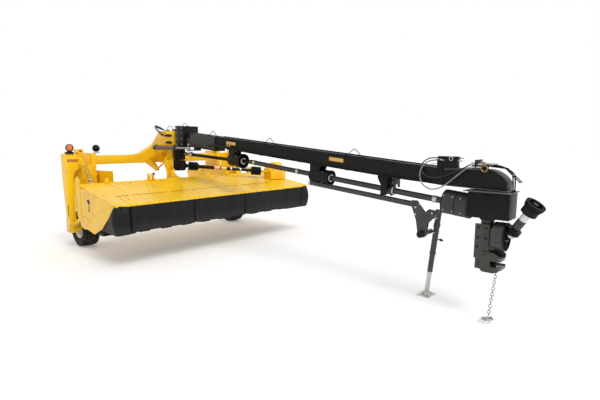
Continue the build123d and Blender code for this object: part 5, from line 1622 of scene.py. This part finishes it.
class MOWER_OT_jack(bpy.types.Operator):
    """Add the jack's crank, foot plate folds, pin and collar"""
    bl_idname = "mower.jack"
    bl_label = "Jack"

    def execute(self, context):
        way = (JACK_HEAD - JACK_FOOT).normalized()
        foot, fixed, crank = Shape(), Shape(), Shape()
        foot.turned(JACK_FOOT + way * 0.012, way, [(-0.002, 0.034), (-0.002, 0.048), (0.01, 0.044),
            (0.03, 0.038), (0.03, 0.034)], 28, closed=True)
        for angle in spread(4, pi / 4):
            arm = vec(cos(angle), sin(angle), 0)
            foot.plate([JACK_FOOT + arm * 0.034 + vec(0, 0, 0.01), JACK_FOOT + arm * 0.095
                + vec(0, 0, 0.01), JACK_FOOT + arm * 0.04 + vec(0, 0, 0.065)],
                vec(-sin(angle), cos(angle), 0) * 0.006, 0)
        foot.made("jack_foot_fittings", "steel", "jack_leg")
        Shape().collar(JACK_FOOT, way, 0.37, 0.66, 0.034, 0.0395, 32).made("jack_middle_tube",
            "tube_paint", "jack_leg")
        collar_at = JACK_FOOT + way * 0.64
        fixed.turned(collar_at, way, [(0, 0.036), (0, 0.047), (0.035, 0.047), (0.035, 0.041)], 28,
            closed=True)
        fixed.turned(JACK_HEAD, way, [(-0.02, 0.04), (-0.02, 0.05), (0.012, 0.05), (0.02, 0.04),
            (0.02, 0)], 28)
        fixed.collar(JACK_FOOT + way * 1.06, way, 0, 0.05, 0.041, 0.049, 28)
        fixed.made("jack_tube_collars", "tube_paint", "tongue")
        hub = JACK_FOOT + way * 1.2
        crank.rod(hub + vec(-0.042, 0, 0), hub + vec(-0.085, 0, 0), 0.013, sides=16)
        crank.rod(hub + vec(-0.085, 0, 0), hub + vec(-0.085, 0.19, -0.02), 0.009, sides=14,
            bevel=0.002)
        crank.rod(hub + vec(-0.088, 0.185, -0.02), hub + vec(-0.165, 0.185, -0.02), 0.006, sides=12)
        crank.ball(hub + vec(-0.085, 0, 0), 0.017, 8)
        crank.made("jack_crank", "steel", "tongue")
        Shape().turned(hub + vec(-0.11, 0.185, -0.02), (-1, 0, 0),
            [(0, 0), (0, 0.012), (0.012, 0.017), (0.045, 0.016), (0.072, 0.019), (0.082, 0.013),
            (0.085, 0)], 24).made("jack_crank_grip", "black_plastic", "tongue")
        pull = Shape()
        at = JACK_FOOT + way * 0.88
        pull.rod(at + vec(0, -0.042, -0.002), at + vec(0, -0.075, -0.004), 0.007, sides=12)
        pull.turned(at + vec(0, -0.07, -0.004), (0, -1, -0.15), [(0, 0), (0, 0.012), (0.01, 0.018),
            (0.04, 0.018), (0.052, 0.012), (0.054, 0)], 24)
        pull.made("jack_release_knob", "black_plastic", "tongue")
        pin = Shape()
        at = JACK_FOOT + way * 0.985
        for side in (-1, 1):
            pin.rod(at + vec(side * 0.042, 0, 0), at + vec(side * 0.075, 0, 0), 0.011, sides=16)
        pin.ring(at + vec(0.082, 0, -0.02), (1, 0, 0), 0.022, 0.0028, 24, 8)
        pin.made("jack_lock_pin", "steel", "tongue")
        return {"FINISHED"}


# ---- Front gearbox, guards and hose rack
BOX_AXIS_Y, BOX_AXIS_Z = ahead(7.8), 1.485  # the cross shaft of the front gearbox
ROD_FOOT, NOSE_TOP = 8.062, 1.667  # where the bent rods stand on the nose


class MOWER_OT_front(bpy.types.Operator):
    """Round the front gearbox and rack, and add their bolts, ribs, fittings, hook and bent rods"""
    bl_idname = "mower.front"
    bl_label = "Front gearbox and rack"

    def execute(self, context):
        softened("front_gearbox", 0.005, "black_paint", "tongue")
        softened("hose_rack", 0.003, "black_plastic", "tongue")
        guard, studs, guard_bolts = Shape(), Shape(), Shape()
        guard_rear = vec(0, ahead(7.19), shaft_z(7.19))
        forward = SHAFT_WAY
        for along in (0.185, 0.35):
            guard.collar(guard_rear, forward, along - 0.006, along + 0.006, 0.162, 0.1685, 44)
        guard.turned(guard_rear, forward, [(-0.003, 0.06), (-0.003, 0.15), (0.004, 0.158),
            (0.004, 0.06)], 44, closed=True)
        for along in (0.035, 0.155, 0.265):
            for angle in (radians(145), radians(35), radians(215)):
                out = vec(cos(angle), 0, sin(angle))
                guard_bolts.bolt(guard_rear + forward * along + out * 0.1665, out, 0.008)
        grille = Shape()
        grille.block((-0.205, ahead(8.075), 1.658), (0.205, ahead(7.5), 1.668), 0.002)
        for index in range(12):
            y = ahead(7.575 + index * 0.042)
            grille.block((-0.2, y - 0.008, 1.664), (0.2, y + 0.008, 1.672), 0.002)
        for side in (-1, 1):
            for y, z in ((7.6, 1.6), (7.6, 1.37), (8.01, 1.6), (8.01, 1.37), (7.8, 1.61),
                    (7.8, 1.365)):
                studs.bolt((side * 0.15, ahead(y), z), (side, 0, 0), 0.012)
            guard.turned((side * 0.149, BOX_AXIS_Y, BOX_AXIS_Z), (side, 0, 0),
                [(0, 0), (0, 0.082), (0.008, 0.082), (0.012, 0.074), (0.012, 0.03), (0.02, 0.026),
                (0.02, 0)], 36)
            for angle in spread(6):
                studs.bolt((side * 0.16, BOX_AXIS_Y + 0.055 * cos(angle), BOX_AXIS_Z
                    + 0.055 * sin(angle)), (side, 0, 0), 0.007)
            for y, z in ((7.66, 1.72), (7.66, 1.84), (7.93, 1.72)):
                studs.bolt((side * 0.091, ahead(y), z), (side, 0, 0), 0.012)
        guard_bolts.made("front_guard_bolts", "steel", "tongue")
        # A flange under the black beam head and a thin strip along its side, light grey: a painted
        # highlight on the head's edges.
        flange = Shape()
        flange.plate(course((-0.128, 7.19, 1.703), (0.128, 7.19, 1.703), (0.128, 8.03, 1.676),
            (-0.128, 8.03, 1.676)), (0, 0, 0.009), 0.002)
        flange.plate(side_view(-0.112, (7.2, 1.925), (7.45, 1.939), (7.72, 1.939), (7.72, 1.928),
            (7.45, 1.928), (7.2, 1.914)), (0.004, 0, 0), 0.001)
        sleeve = Shape()
        sleeve.turned(guard_rear, forward, [(-0.004, 0.14), (-0.004, 0.15), (0.016, 0.1665),
            (0.362, 0.1665), (0.362, 0.15)], 56, closed=True)
        finished("tongue", (sleeve, "front_guard_sleeve", "grey_paint"),
            (guard, "front_guard_ribs", "black_paint"),
            (grille, "front_box_grille", "light_grey_paint"), (studs, "front_bolts", "black_paint"),
            (flange, "beam_head_flange_painted_highlight", "light_grey_paint"))

        rack, silver, gold = Shape(), Shape(), Shape()
        for z in (1.955, 2.075):
            rack.block((-0.1075, ahead(7.375), z - 0.01), (-0.0175, ahead(7.095), z + 0.01), 0.003)
        for y in (7.105, 7.235, 7.365):
            rack.block((-0.1085, ahead(y + 0.008), 1.94), (-0.1, ahead(y - 0.008), 2.085), 0.002)
        Shape().plate(course((-0.115, 7.55, 2.006), (0.075, 7.55, 2.006), (0.075, 7.83, 1.994),
            (-0.115, 7.83, 1.994)), (0, 0, 0.016), 0.003).made("rack_top_plate", "worn_steel",
            "tongue")
        for x in (-0.085, -0.045):
            z = 2.035 if x < -0.06 else 2.068
            silver.rod((x, ahead(7.098), z), (x, ahead(7.075), z), 0.014, sides=6)
            silver.rod((x, ahead(7.4), z), (x, ahead(7.365), z), 0.012, sides=6)
            silver.rod((x, ahead(7.44), z), (x, ahead(7.38), z), 0.008, sides=14)
        for x, z in ((-0.165, 1.965), (-0.13, 1.998), (-0.02, 2.025)):
            silver.rod((x, ahead(7.625), z), (x, ahead(7.668), z), 0.0135, sides=6)
            silver.rod((x, ahead(7.665), z), (x, ahead(7.7), z), 0.0095, sides=14, bevel=0.001)
        silver.rod(*side_view(-0.095, (7.0, 1.985), (7.11, 1.985)), 0.006, sides=12)
        for distance, reach, z in ((7.13, 0.045, 2.045), (7.2, 0.052, 2.03)):
            spot = vec(-0.104, ahead(distance), z)
            out = vec(-1, 0.35, 0.25).normalized()
            silver.rod(spot, spot + out * reach, 0.013, sides=6, bevel=0.001)
            silver.rod(spot + out * reach, spot + out * (reach + 0.03), 0.0095, sides=14,
                bevel=0.001)
        silver.ring((-0.112, ahead(7.29), 2.062), (1, 0, 0), 0.024, 0.005, 24, 8)
        finished("tongue", (rack, "rack_frame", "black_paint"), (silver, "rack_fittings", "steel"))
        gold.ring((-0.118, ahead(7.725), 1.95), (1, 0, 0), 0.038, 0.007, 28, 10)
        gold.rod(*front_view(7.755, (-0.105, 1.955), (-0.055, 1.96)), 0.007, sides=12)
        gold.made("rack_hook", "brass", "tongue")
        bends = [course((-0.06, 7.7, 2.002), (-0.06, 7.82, 1.996), (-0.065, 7.93, 1.985),
            (-0.07, 8.03, 1.925), (-0.07, ROD_FOOT, 1.84), (-0.07, ROD_FOOT, NOSE_TOP)),
            course((0.02, 7.72, 2.002), (0.02, 7.84, 1.985), (0.015, 7.97, 1.95), (0.01, 8.04, 1.9),
            (0.01, ROD_FOOT, 1.84), (0.01, ROD_FOOT, NOSE_TOP))]
        seats = Shape()
        for x in (-0.07, 0.01):
            seats.block((x - 0.02, ahead(8.074), NOSE_TOP), (x + 0.02, ahead(8.038), 1.676), 0.002)
            seats.rod((x, ahead(ROD_FOOT), 1.674), (x, ahead(ROD_FOOT), 1.696), 0.0125, sides=6,
                bevel=0.001)
        seats.made("rack_rod_seats", "black_paint", "tongue")
        strand("rack_bent_rods", bends, 0.0085, "black_paint", "tongue")
        return {"FINISHED"}


# ---- Hitch, chain and power shaft
CHAIN_TOP = vec(-0.05, ahead(7.93), 0.675)
CHAIN_END = vec(-0.15, ahead(7.9), 0.07)
SWIVEL_Y = ahead(7.77)


class MOWER_OT_hitch(bpy.types.Operator):
    """Finish the hitch with its bolts and guard ribs"""
    bl_idname = "mower.hitch"
    bl_label = "Hitch"

    def execute(self, context):
        # The hitch takes the lightened black, a painted highlight and ground reflection.
        softened("hitch", 0.003, "tube_paint", "hitch")
        studs, ribs, edges = Shape(), Shape(), Shape()
        for side in (-1, 1):
            for y, z in ((7.7, 1.2), (7.8, 1.2), (7.7, 1.07), (7.8, 1.07), (7.7, 0.95), (7.8, 0.9)):
                studs.bolt((side * 0.13, ahead(y), z), (side, 0, 0), 0.012)
        bore = vec(0, ahead(7.79), 0)
        for z, out in ((0.815, 1), (0.665, -1)):
            edges.collar(bore + vec(0, 0, z), (0, 0, out), -0.003, 0.006, 0.0175, 0.034, 32)
        for z in (0.812, 0.786, 0.697, 0.671):
            edges.rod(*front_view(7.986, (-0.084, z), (0.084, z)), 0.0035, sides=8)
            edges.rod((-0.131, ahead(7.95), z), (-0.085, ahead(7.985), z), 0.0035, sides=8)
        centre = vec(-0.028, ahead(7.88), 1.105)
        forward = vec(0, -1, 0)
        for along in (0.012, 0.048, 0.084, 0.12):
            ribs.turned(centre, forward, [(along, 0.171), (along, 0.1665), (along + 0.008, 0.1665),
                (along + 0.008, 0.173)], 44, closed=True)
        ribs.collar(centre, forward, 0.132, 0.143, 0.169, 0.184, 44)
        for angle in spread(6, 0.3):
            out = vec(cos(angle), 0, sin(angle))
            ribs.bolt(centre + forward * 0.068 + out * 0.179, out, 0.007)
        cheeks = Shape()
        for side in (-1, 1):
            cheeks.plate(side_view(side * 0.131, (7.73, 0.9), (7.91, 0.9), (7.98, 0.855),
                (7.98, 0.8), (7.87, 0.8), (7.87, 0.715), (7.98, 0.715), (7.98, 0.665),
                (7.91, 0.635), (7.77, 0.635), (7.73, 0.69)), (side * 0.01, 0, 0), 0.003)
            cheeks.bolt((side * 0.141, ahead(7.78), 0.85), (side, 0, 0), 0.012)
        for z in (0.785, 0.67):
            cheeks.plate(top_view(z, (-0.132, 7.84), (0.132, 7.84), (0.132, 7.95), (0.085, 7.985),
                (-0.085, 7.985), (-0.132, 7.95)), (0, 0, 0.028), 0.003)
        finished("hitch", (cheeks, "clevis_cheeks", "tube_paint"),
            (ribs, "guard_ring_ribs", "black_plastic"), (studs, "hitch_bolts", "black_paint"),
            (edges, "clevis_wear_rings", "worn_steel"))
        neck = Shape()
        neck.turned((0, SWIVEL_Y, 1.32), (0, 0, -1), [(0.004, 0.079), (0.004, 0.098),
            (0.022, 0.098), (0.026, 0.079)], 36, closed=True)
        for angle in spread(6):
            neck.bolt((0.088 * cos(angle), SWIVEL_Y + 0.088 * sin(angle), 1.294), (0, 0, -1), 0.006)
        neck.made("swivel_ring", "black_paint", "hitch")
        return {"FINISHED"}


class MOWER_OT_chain(bpy.types.Operator):
    """Link the safety chain that hangs from the hitch, with its hook"""
    bl_idname = "mower.chain"
    bl_label = "Safety chain"

    def execute(self, context):
        count = sizes().chain_links
        way = (CHAIN_END - CHAIN_TOP).normalized()
        run = (CHAIN_END - CHAIN_TOP).length
        pitch = run / count
        wire, bend = 0.0046, 0.0155
        chain = Shape()

        def link(turn_matrix, half, width):
            """An oval link: two half rings and two straights, spun from one section."""
            section = bmesh.ops.create_circle(chain.mesh, segments=8, radius=wire,
                matrix=turn_matrix @ Matrix.Translation((width, 0, -half)))
            edges = list({edge for vertex in section["verts"] for edge in vertex.link_edges})
            geometry = section["verts"] + edges
            across = (turn_matrix.to_3x3() @ vec(0, 1, 0)).normalized()
            along = turn_matrix.to_3x3() @ vec(0, 0, 1)
            for centre_shift, straight in ((half, 2 * half), (-half, -2 * half)):
                moved = bmesh.ops.extrude_edge_only(chain.mesh,
                    edges=[part for part in geometry if isinstance(part, bmesh.types.BMEdge)])
                points = {part for part in moved["geom"] if isinstance(part, bmesh.types.BMVert)}
                rims = [part for part in moved["geom"] if isinstance(part, bmesh.types.BMEdge)
                    and points.issuperset(part.verts)]
                bmesh.ops.translate(chain.mesh, verts=list(points), vec=along * straight)
                turned = bmesh.ops.spin(chain.mesh, geom=list(points) + rims,
                    cent=turn_matrix @ vec(0, 0, centre_shift), axis=-across, angle=pi, steps=7,
                    use_merge=False)
                geometry = turned["geom_last"]

        facing = vec(-0.95, -0.3, 0)
        facing = (facing - way * facing.dot(way)).normalized()
        base = Matrix((facing.cross(way), facing, way)).transposed().to_4x4()
        for index in range(count):
            at = CHAIN_TOP + way * pitch * (index + 0.5)
            turn = Matrix.Translation(at) @ base @ Matrix.Rotation(index % 2 * pi / 2 + 0.15, 4,
                "Z")
            link(turn, pitch / 2 + wire - bend, bend)
        hook = vec(-0.185, ahead(7.9), 0.05)
        chain.ring(hook, (0.15, 0.1, 1), 0.066, 0.01, 30, 12)
        chain.rod(hook + vec(0.012, 0.0, 0.02), hook + vec(0.04, 0.012, -0.008), 0.0105, sides=12,
            bevel=0.002)
        chain.ring(hook + vec(-0.045, 0.018, 0.004), (1, 0.4, 0.5), 0.022, 0.006, 20, 8)
        chain.ring(hook + vec(0.045, -0.02, 0.004), (0.3, 1, 0.6), 0.021, 0.006, 20, 8)
        chain.made("safety_chain_links", "worn_steel", "hitch", ("safety_chain",), 60)
        Shape().ring(CHAIN_TOP + vec(0, 0, 0.01), (0, 1, 0), 0.014, 0.005, 24,
            8).made("chain_shackle", "steel", "hitch")
        return {"FINISHED"}


SHAFT_TUBE = 0.0355  # just inside the power shaft's tube


class MOWER_OT_power_shaft(bpy.types.Operator):
    """Finish the folded-up power shaft: ridged cone, collars, yoke, joint and blank label"""
    bl_idname = "mower.power_shaft"
    bl_label = "Power shaft"

    def execute(self, context):
        start = vec(-0.03, ahead(8.035), 1.105)
        end = vec(-0.095, ahead(8.335), 1.56)
        way = (end - start).normalized()
        length = (end - start).length
        cone, yoke, sleeve = Shape(), Shape(), Shape()
        for index in range(6):
            along = length - 0.145 + index * 0.025
            radius = 0.06 + (0.118 - 0.06) * min(1.0, (index + 0.6) / 5.0)
            cone.turned(start, way, [(along - 0.006, radius - 0.005),
                (along - 0.004, radius + 0.0025), (along + 0.004, radius + 0.003),
                (along + 0.006, radius - 0.004)], 40, closed=True)
        cone.turned(start, way, [(length - 0.165, 0.036), (length - 0.165, 0.058),
            (length - 0.14, 0.066), (length - 0.03, 0.114), (length - 0.008, 0.121),
            (length + 0.001, 0.121), (length + 0.001, 0.112), (length - 0.03, 0.106),
            (length - 0.13, 0.06), (length - 0.15, 0.036)], 44, closed=True)
        for along in (0.085, 0.11, 0.135):
            cone.turned(start, way, [(along - 0.008, 0.078), (along - 0.006, 0.0865),
                (along + 0.006, 0.0865), (along + 0.008, 0.078)], 40, closed=True)
        cone.made("power_shaft_cone_ridges", "black_plastic", "pto_shaft")
        sleeve.collar(start, way, 0.145, 0.165, SHAFT_TUBE, 0.042, 32)
        sleeve.turned(start, way, [(0.165, SHAFT_TUBE), (0.172, 0.054), (0.285, 0.054),
            (0.29, SHAFT_TUBE)], 36, closed=True)
        sleeve.made("power_shaft_sleeve", "tube_paint", "pto_shaft", slot="black_plastic")
        Shape().turned(start, way, [(0.291, SHAFT_TUBE), (0.291, 0.05), (length - 0.16, 0.052),
            (length - 0.16, SHAFT_TUBE)], 36, closed=True).made("power_shaft_label", "white_label",
            "pto_shaft")
        universal_joint(yoke, start + way * (length - 0.045), way, 0.034, 0.012)
        yoke.boss(start, way, (length - 0.03, length - 0.006, length - 0.004),
            (0.0178, 0.031, 0.028), 28)
        yoke.made("power_shaft_yoke", "grey_plastic", "pto_shaft")
        joint = Shape()
        joint.boss(start, way, (0.03, 0.055, 0.072), (0.038, 0.058, 0.046), 28)
        for quarter in range(4):
            turn = stood(start + way * 0.044, way) @ Matrix.Rotation(quarter * pi / 2, 4, "Z")
            joint.bolt(turn @ vec(0.058, 0, 0), turn.to_3x3() @ vec(1, 0, 0), 0.008)
        joint.made("power_shaft_joint", "steel", "pto_shaft")
        return {"FINISHED"}


# ---- Drive to the header
CAP_X = 1.97  # the header gearbox's upright cap
DRUM_X, DRUM_Z = 2.11, 1.6  # its drum's axis, along the machine


class MOWER_OT_header_drive(bpy.types.Operator):
    """Finish the drive to the header: boots, bands, joints, gearbox ribs and blank labels"""
    bl_idname = "mower.header_drive"
    bl_label = "Header drive"

    def execute(self, context):
        start = vec(0.2, ahead(0.65), 1.68)
        end = vec(1.74, ahead(1.54), 1.52)
        way = (end - start).normalized()
        length = (end - start).length
        boots, bands = Shape(), Shape()
        for along in (0.015, 0.045, 0.075, 0.105, 0.135, 0.165, 0.195):
            boots.turned(start, way, [(along - 0.014, 0.084), (along - 0.01, 0.104), (along, 0.112),
                (along + 0.01, 0.104), (along + 0.014, 0.084)], 36, closed=True)
        boots.turned(start, way, [(0.178, 0.04), (0.178, 0.1), (0.222, 0.085), (0.255, 0.05),
            (0.255, 0.04)], 36, closed=True)
        boots.made("outer_boot_ridges", "black_plastic", "drive_outer")
        bands.collar(start, way, 0.008, 0.017, 0.084, 0.0875, 36)
        bands.collar(start, way, 1.015, 1.05, 0.041, 0.05, 32)
        bands.made("outer_drive_bands", "steel", "drive_outer")
        tags, pink = Shape(), Shape()
        for shape, low, high in ((pink, 0.62, 0.76), (tags, 0.79, 0.92)):
            shape.collar(start, way, low, high, 0.0415, 0.043, 32)
        finished("drive_outer", (pink, "drive_label_pink", "pink_label"),
            (tags, "drive_label_yellow", "yellow_label"))
        inner = Shape()
        for back in (0.012, 0.042, 0.072, 0.102, 0.132, 0.162, 0.192, 0.222):
            inner.turned(start, way, [(length - back - 0.014, 0.087), (length - back - 0.01, 0.102),
                (length - back, 0.11), (length - back + 0.01, 0.102),
                (length - back + 0.014, 0.087)], 36, closed=True)
        inner.made("inner_boot_ridges", "black_plastic", "drive_inner")
        Shape().collar(start, way, 1.25, 1.285, 0.034, 0.047, 30).made("inner_drive_collar",
            "steel", "drive_inner")

        softened("header_gearbox", 0.008, "yellow_paint", "header")
        low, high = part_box("header_gearbox")
        cap, studs, ribs = Shape(), Shape(), Shape()
        middle = (low + high) / 2
        cap.turned((CAP_X, middle.y, high.z), (0, 0, 1), [(-0.004, 0), (-0.004, 0.088),
            (0.012, 0.088), (0.018, 0.078), (0.018, 0.04), (0.026, 0.036), (0.026, 0)], 36)
        for angle in spread(6):
            studs.bolt((CAP_X + 0.064 * cos(angle), middle.y + 0.064 * sin(angle), high.z + 0.015),
                (0, 0, 1), 0.008)
        drum = (DRUM_X, low.y + 0.01, DRUM_Z)
        cap.boss(drum, (0, -1, 0), (-0.22, 0.01, 0.016), (0, 0.15, 0.14), 44)
        for angle in spread(8):
            studs.bolt((DRUM_X + 0.122 * cos(angle), low.y - 0.005, DRUM_Z + 0.122 * sin(angle)),
                (0, -1, 0), 0.008)
        cap.made("header_gearbox_cap", "yellow_paint", "header")
        for x in (1.92, 2.02, 2.12, 2.22):
            for y, out in ((low.y, -1), (high.y, 1)):
                ribs.block((x - 0.006, y - 0.012 * (out < 0), 1.34),
                    (x + 0.006, y + 0.012 * (out > 0), 1.62), 0.003)
        for x, z in ((1.89, 1.36), (2.3, 1.36), (1.89, 1.66), (2.2, 1.66)):
            for y, out in ((low.y, -1), (high.y, 1)):
                studs.bolt((x, y, z), (0, out, 0), 0.009)
        finished("header", (ribs, "header_gearbox_ribs", "yellow_paint"),
            (studs, "header_gearbox_bolts", "steel"))
        return {"FINISHED"}


# ---- Lift linkage, shields and swathboard
def ram(base, tip, radius, reach):
    """End caps, gland, port and weld rings along a cylinder barrel that ends at reach."""
    way = (tip - base).normalized()
    rings = Shape()
    for start, end, extra in ((0.05, 0.075, 0.004), (reach - 0.055, reach - 0.012, 0.006),
            (reach - 0.012, reach, 0.001)):
        rings.collar(base, way, start, end, radius - 0.004, radius + extra, 32)
    turn = stood(base, way)
    for along in (0.1, reach - 0.075):
        rings.rod(turn @ vec(0, radius - 0.004, along), turn @ vec(0, radius + 0.022, along), 0.012,
            sides=14)
        rings.rod(turn @ vec(0, radius + 0.018, along), turn @ vec(0, radius + 0.034, along), 0.011,
            sides=6)
    return rings


LIFT_X = 1.98  # the lift cylinders, each side of the middle


class MOWER_OT_linkage(bpy.types.Operator):
    """Finish the lift arms, cylinders, top link, swing cylinder, side shields and swathboard"""
    bl_idname = "mower.linkage"
    bl_label = "Linkage and shields"

    def execute(self, context):
        softened("lower_arms", 0.003, "yellow_paint", "lower_arms")
        softened("top_link", 0.002, "yellow_paint", "top_link")
        softened("swathboard", 0.002, "yellow_paint", "swathboard")
        shields = (("left_windrow_shield", 1), ("right_windrow_shield", -1))
        for node, side in shields:
            softened(node, 0.002, "yellow_paint", node)
            low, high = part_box(node)
            edge = Shape()
            face = high.x if side > 0 else low.x
            for z in (low.z + 0.1, (low.z + high.z) / 2, high.z - 0.08):
                edge.block((face - 0.001, low.y + 0.1, z - 0.012),
                    (face + side * 0.008, high.y - 0.08, z + 0.012), 0.003)
            edge.made(node + "_stiffeners", "yellow_paint", node)
            bolts(node + "_bolts", node, (side, 0, 0), 0.009,
                [(face + side * 0.007, y, z) for y in (low.y + 0.16, high.y - 0.16)
                for z in (low.z + 0.1, (low.z + high.z) / 2, high.z - 0.08)])
        for side, name in ((1, "left"), (-1, "right")):
            base = vec(side * LIFT_X, ahead(0.1), 1.64)
            tip = vec(side * LIFT_X, ahead(0.64), 1.06)
            reach = barrel_reach() - 0.004
            ram(base, tip, 0.04, reach).made(f"{name}_lift_barrel_rings", "black_paint",
                "lift_barrels")
        base = vec(-0.43, ahead(0.215), 2.12)
        ram(base, vec(-0.335, ahead(1.51), 2.12), 0.042, 0.858).made("swing_barrel_rings",
            "black_paint", "swing_barrel")
        arms = Shape()
        for side in (-1, 1):
            for y, z in (ARM_BASE, ARM_TIP):
                arms.collar((side * 2.275, y, z), (side, 0, 0), -0.001, 0.004, 0.017, 0.03, 26)
        arms.made("arm_bushes", "steel", "lower_arms")
        softened("swing_barrel", 0.002, "light_grey_paint", "swing_barrel")
        board = Shape()
        hinge = vec(0, ahead(0.62), 1.095)
        tip = vec(0, ahead(0.34), 0.95)
        slope = (tip - hinge).normalized()
        normal = slope.cross(vec(1, 0, 0)).normalized()
        for x in (-1.2, -0.6, 0.0, 0.6, 1.2):
            spot = hinge + vec(x, 0, 0) + slope * 0.06
            board.bolt(spot + normal * 0.003, normal, 0.008)
        board.made("swathboard_bolts", "steel", "swathboard")
        return {"FINISHED"}


def barrel_reach():
    """How far the lift barrels reach down from their upper pins."""
    low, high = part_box("lift_barrels")
    way = vec(0, -0.54, -0.58).normalized()
    return (high.z - low.z - 0.04 - 0.04 * abs(way.y)) / abs(way.z)


# ---- Panel, registration and run
STEPS = (MOWER_OT_stage, MOWER_OT_finishes, MOWER_OT_hoses, MOWER_OT_wheels, MOWER_OT_curtains,
    MOWER_OT_deck, MOWER_OT_header_ends, MOWER_OT_cutterbar, MOWER_OT_rolls, MOWER_OT_springs,
    MOWER_OT_lamps, MOWER_OT_trail_frame, MOWER_OT_pivot, MOWER_OT_tongue, MOWER_OT_driveline,
    MOWER_OT_jack, MOWER_OT_front, MOWER_OT_hitch, MOWER_OT_chain, MOWER_OT_power_shaft,
    MOWER_OT_header_drive, MOWER_OT_linkage)


class MOWER_PT_panel(bpy.types.Panel):
    """Lists the machine's sizes, colours and making steps"""
    bl_idname = "MOWER_PT_panel"
    bl_label = "Disc mower conditioner"
    bl_space_type = "VIEW_3D"
    bl_region_type = "UI"
    bl_category = "Mower"

    def draw(self, context):
        layout = self.layout
        for group in (context.scene.mower_paints, context.scene.mower_sizes,
                context.scene.mower_camera):
            for name in group.bl_rna.properties.keys():
                if name not in ("rna_type", "name"):
                    layout.prop(group, name)
        for step in STEPS:
            layout.operator(step.bl_idname)


SETTINGS = {"mower_paints": PaintSettings, "mower_sizes": BuildSettings,
    "mower_camera": CameraSettings}


def register():
    """Add the settings, operators and panel to Blender."""
    for kind in (*SETTINGS.values(), *STEPS, MOWER_PT_panel):
        bpy.utils.register_class(kind)
    for name, kind in SETTINGS.items():
        setattr(bpy.types.Scene, name, bpy.props.PointerProperty(type=kind))


def unregister():
    """Take them all away again."""
    for name in SETTINGS:
        delattr(bpy.types.Scene, name)
    for kind in reversed((*SETTINGS.values(), *STEPS, MOWER_PT_panel)):
        bpy.utils.unregister_class(kind)


def main():
    """Make the whole scene."""
    register()
    for step in STEPS:
        getattr(bpy.ops.mower, step.bl_idname.split(".")[1])()


if __name__ == "__main__":
    main()
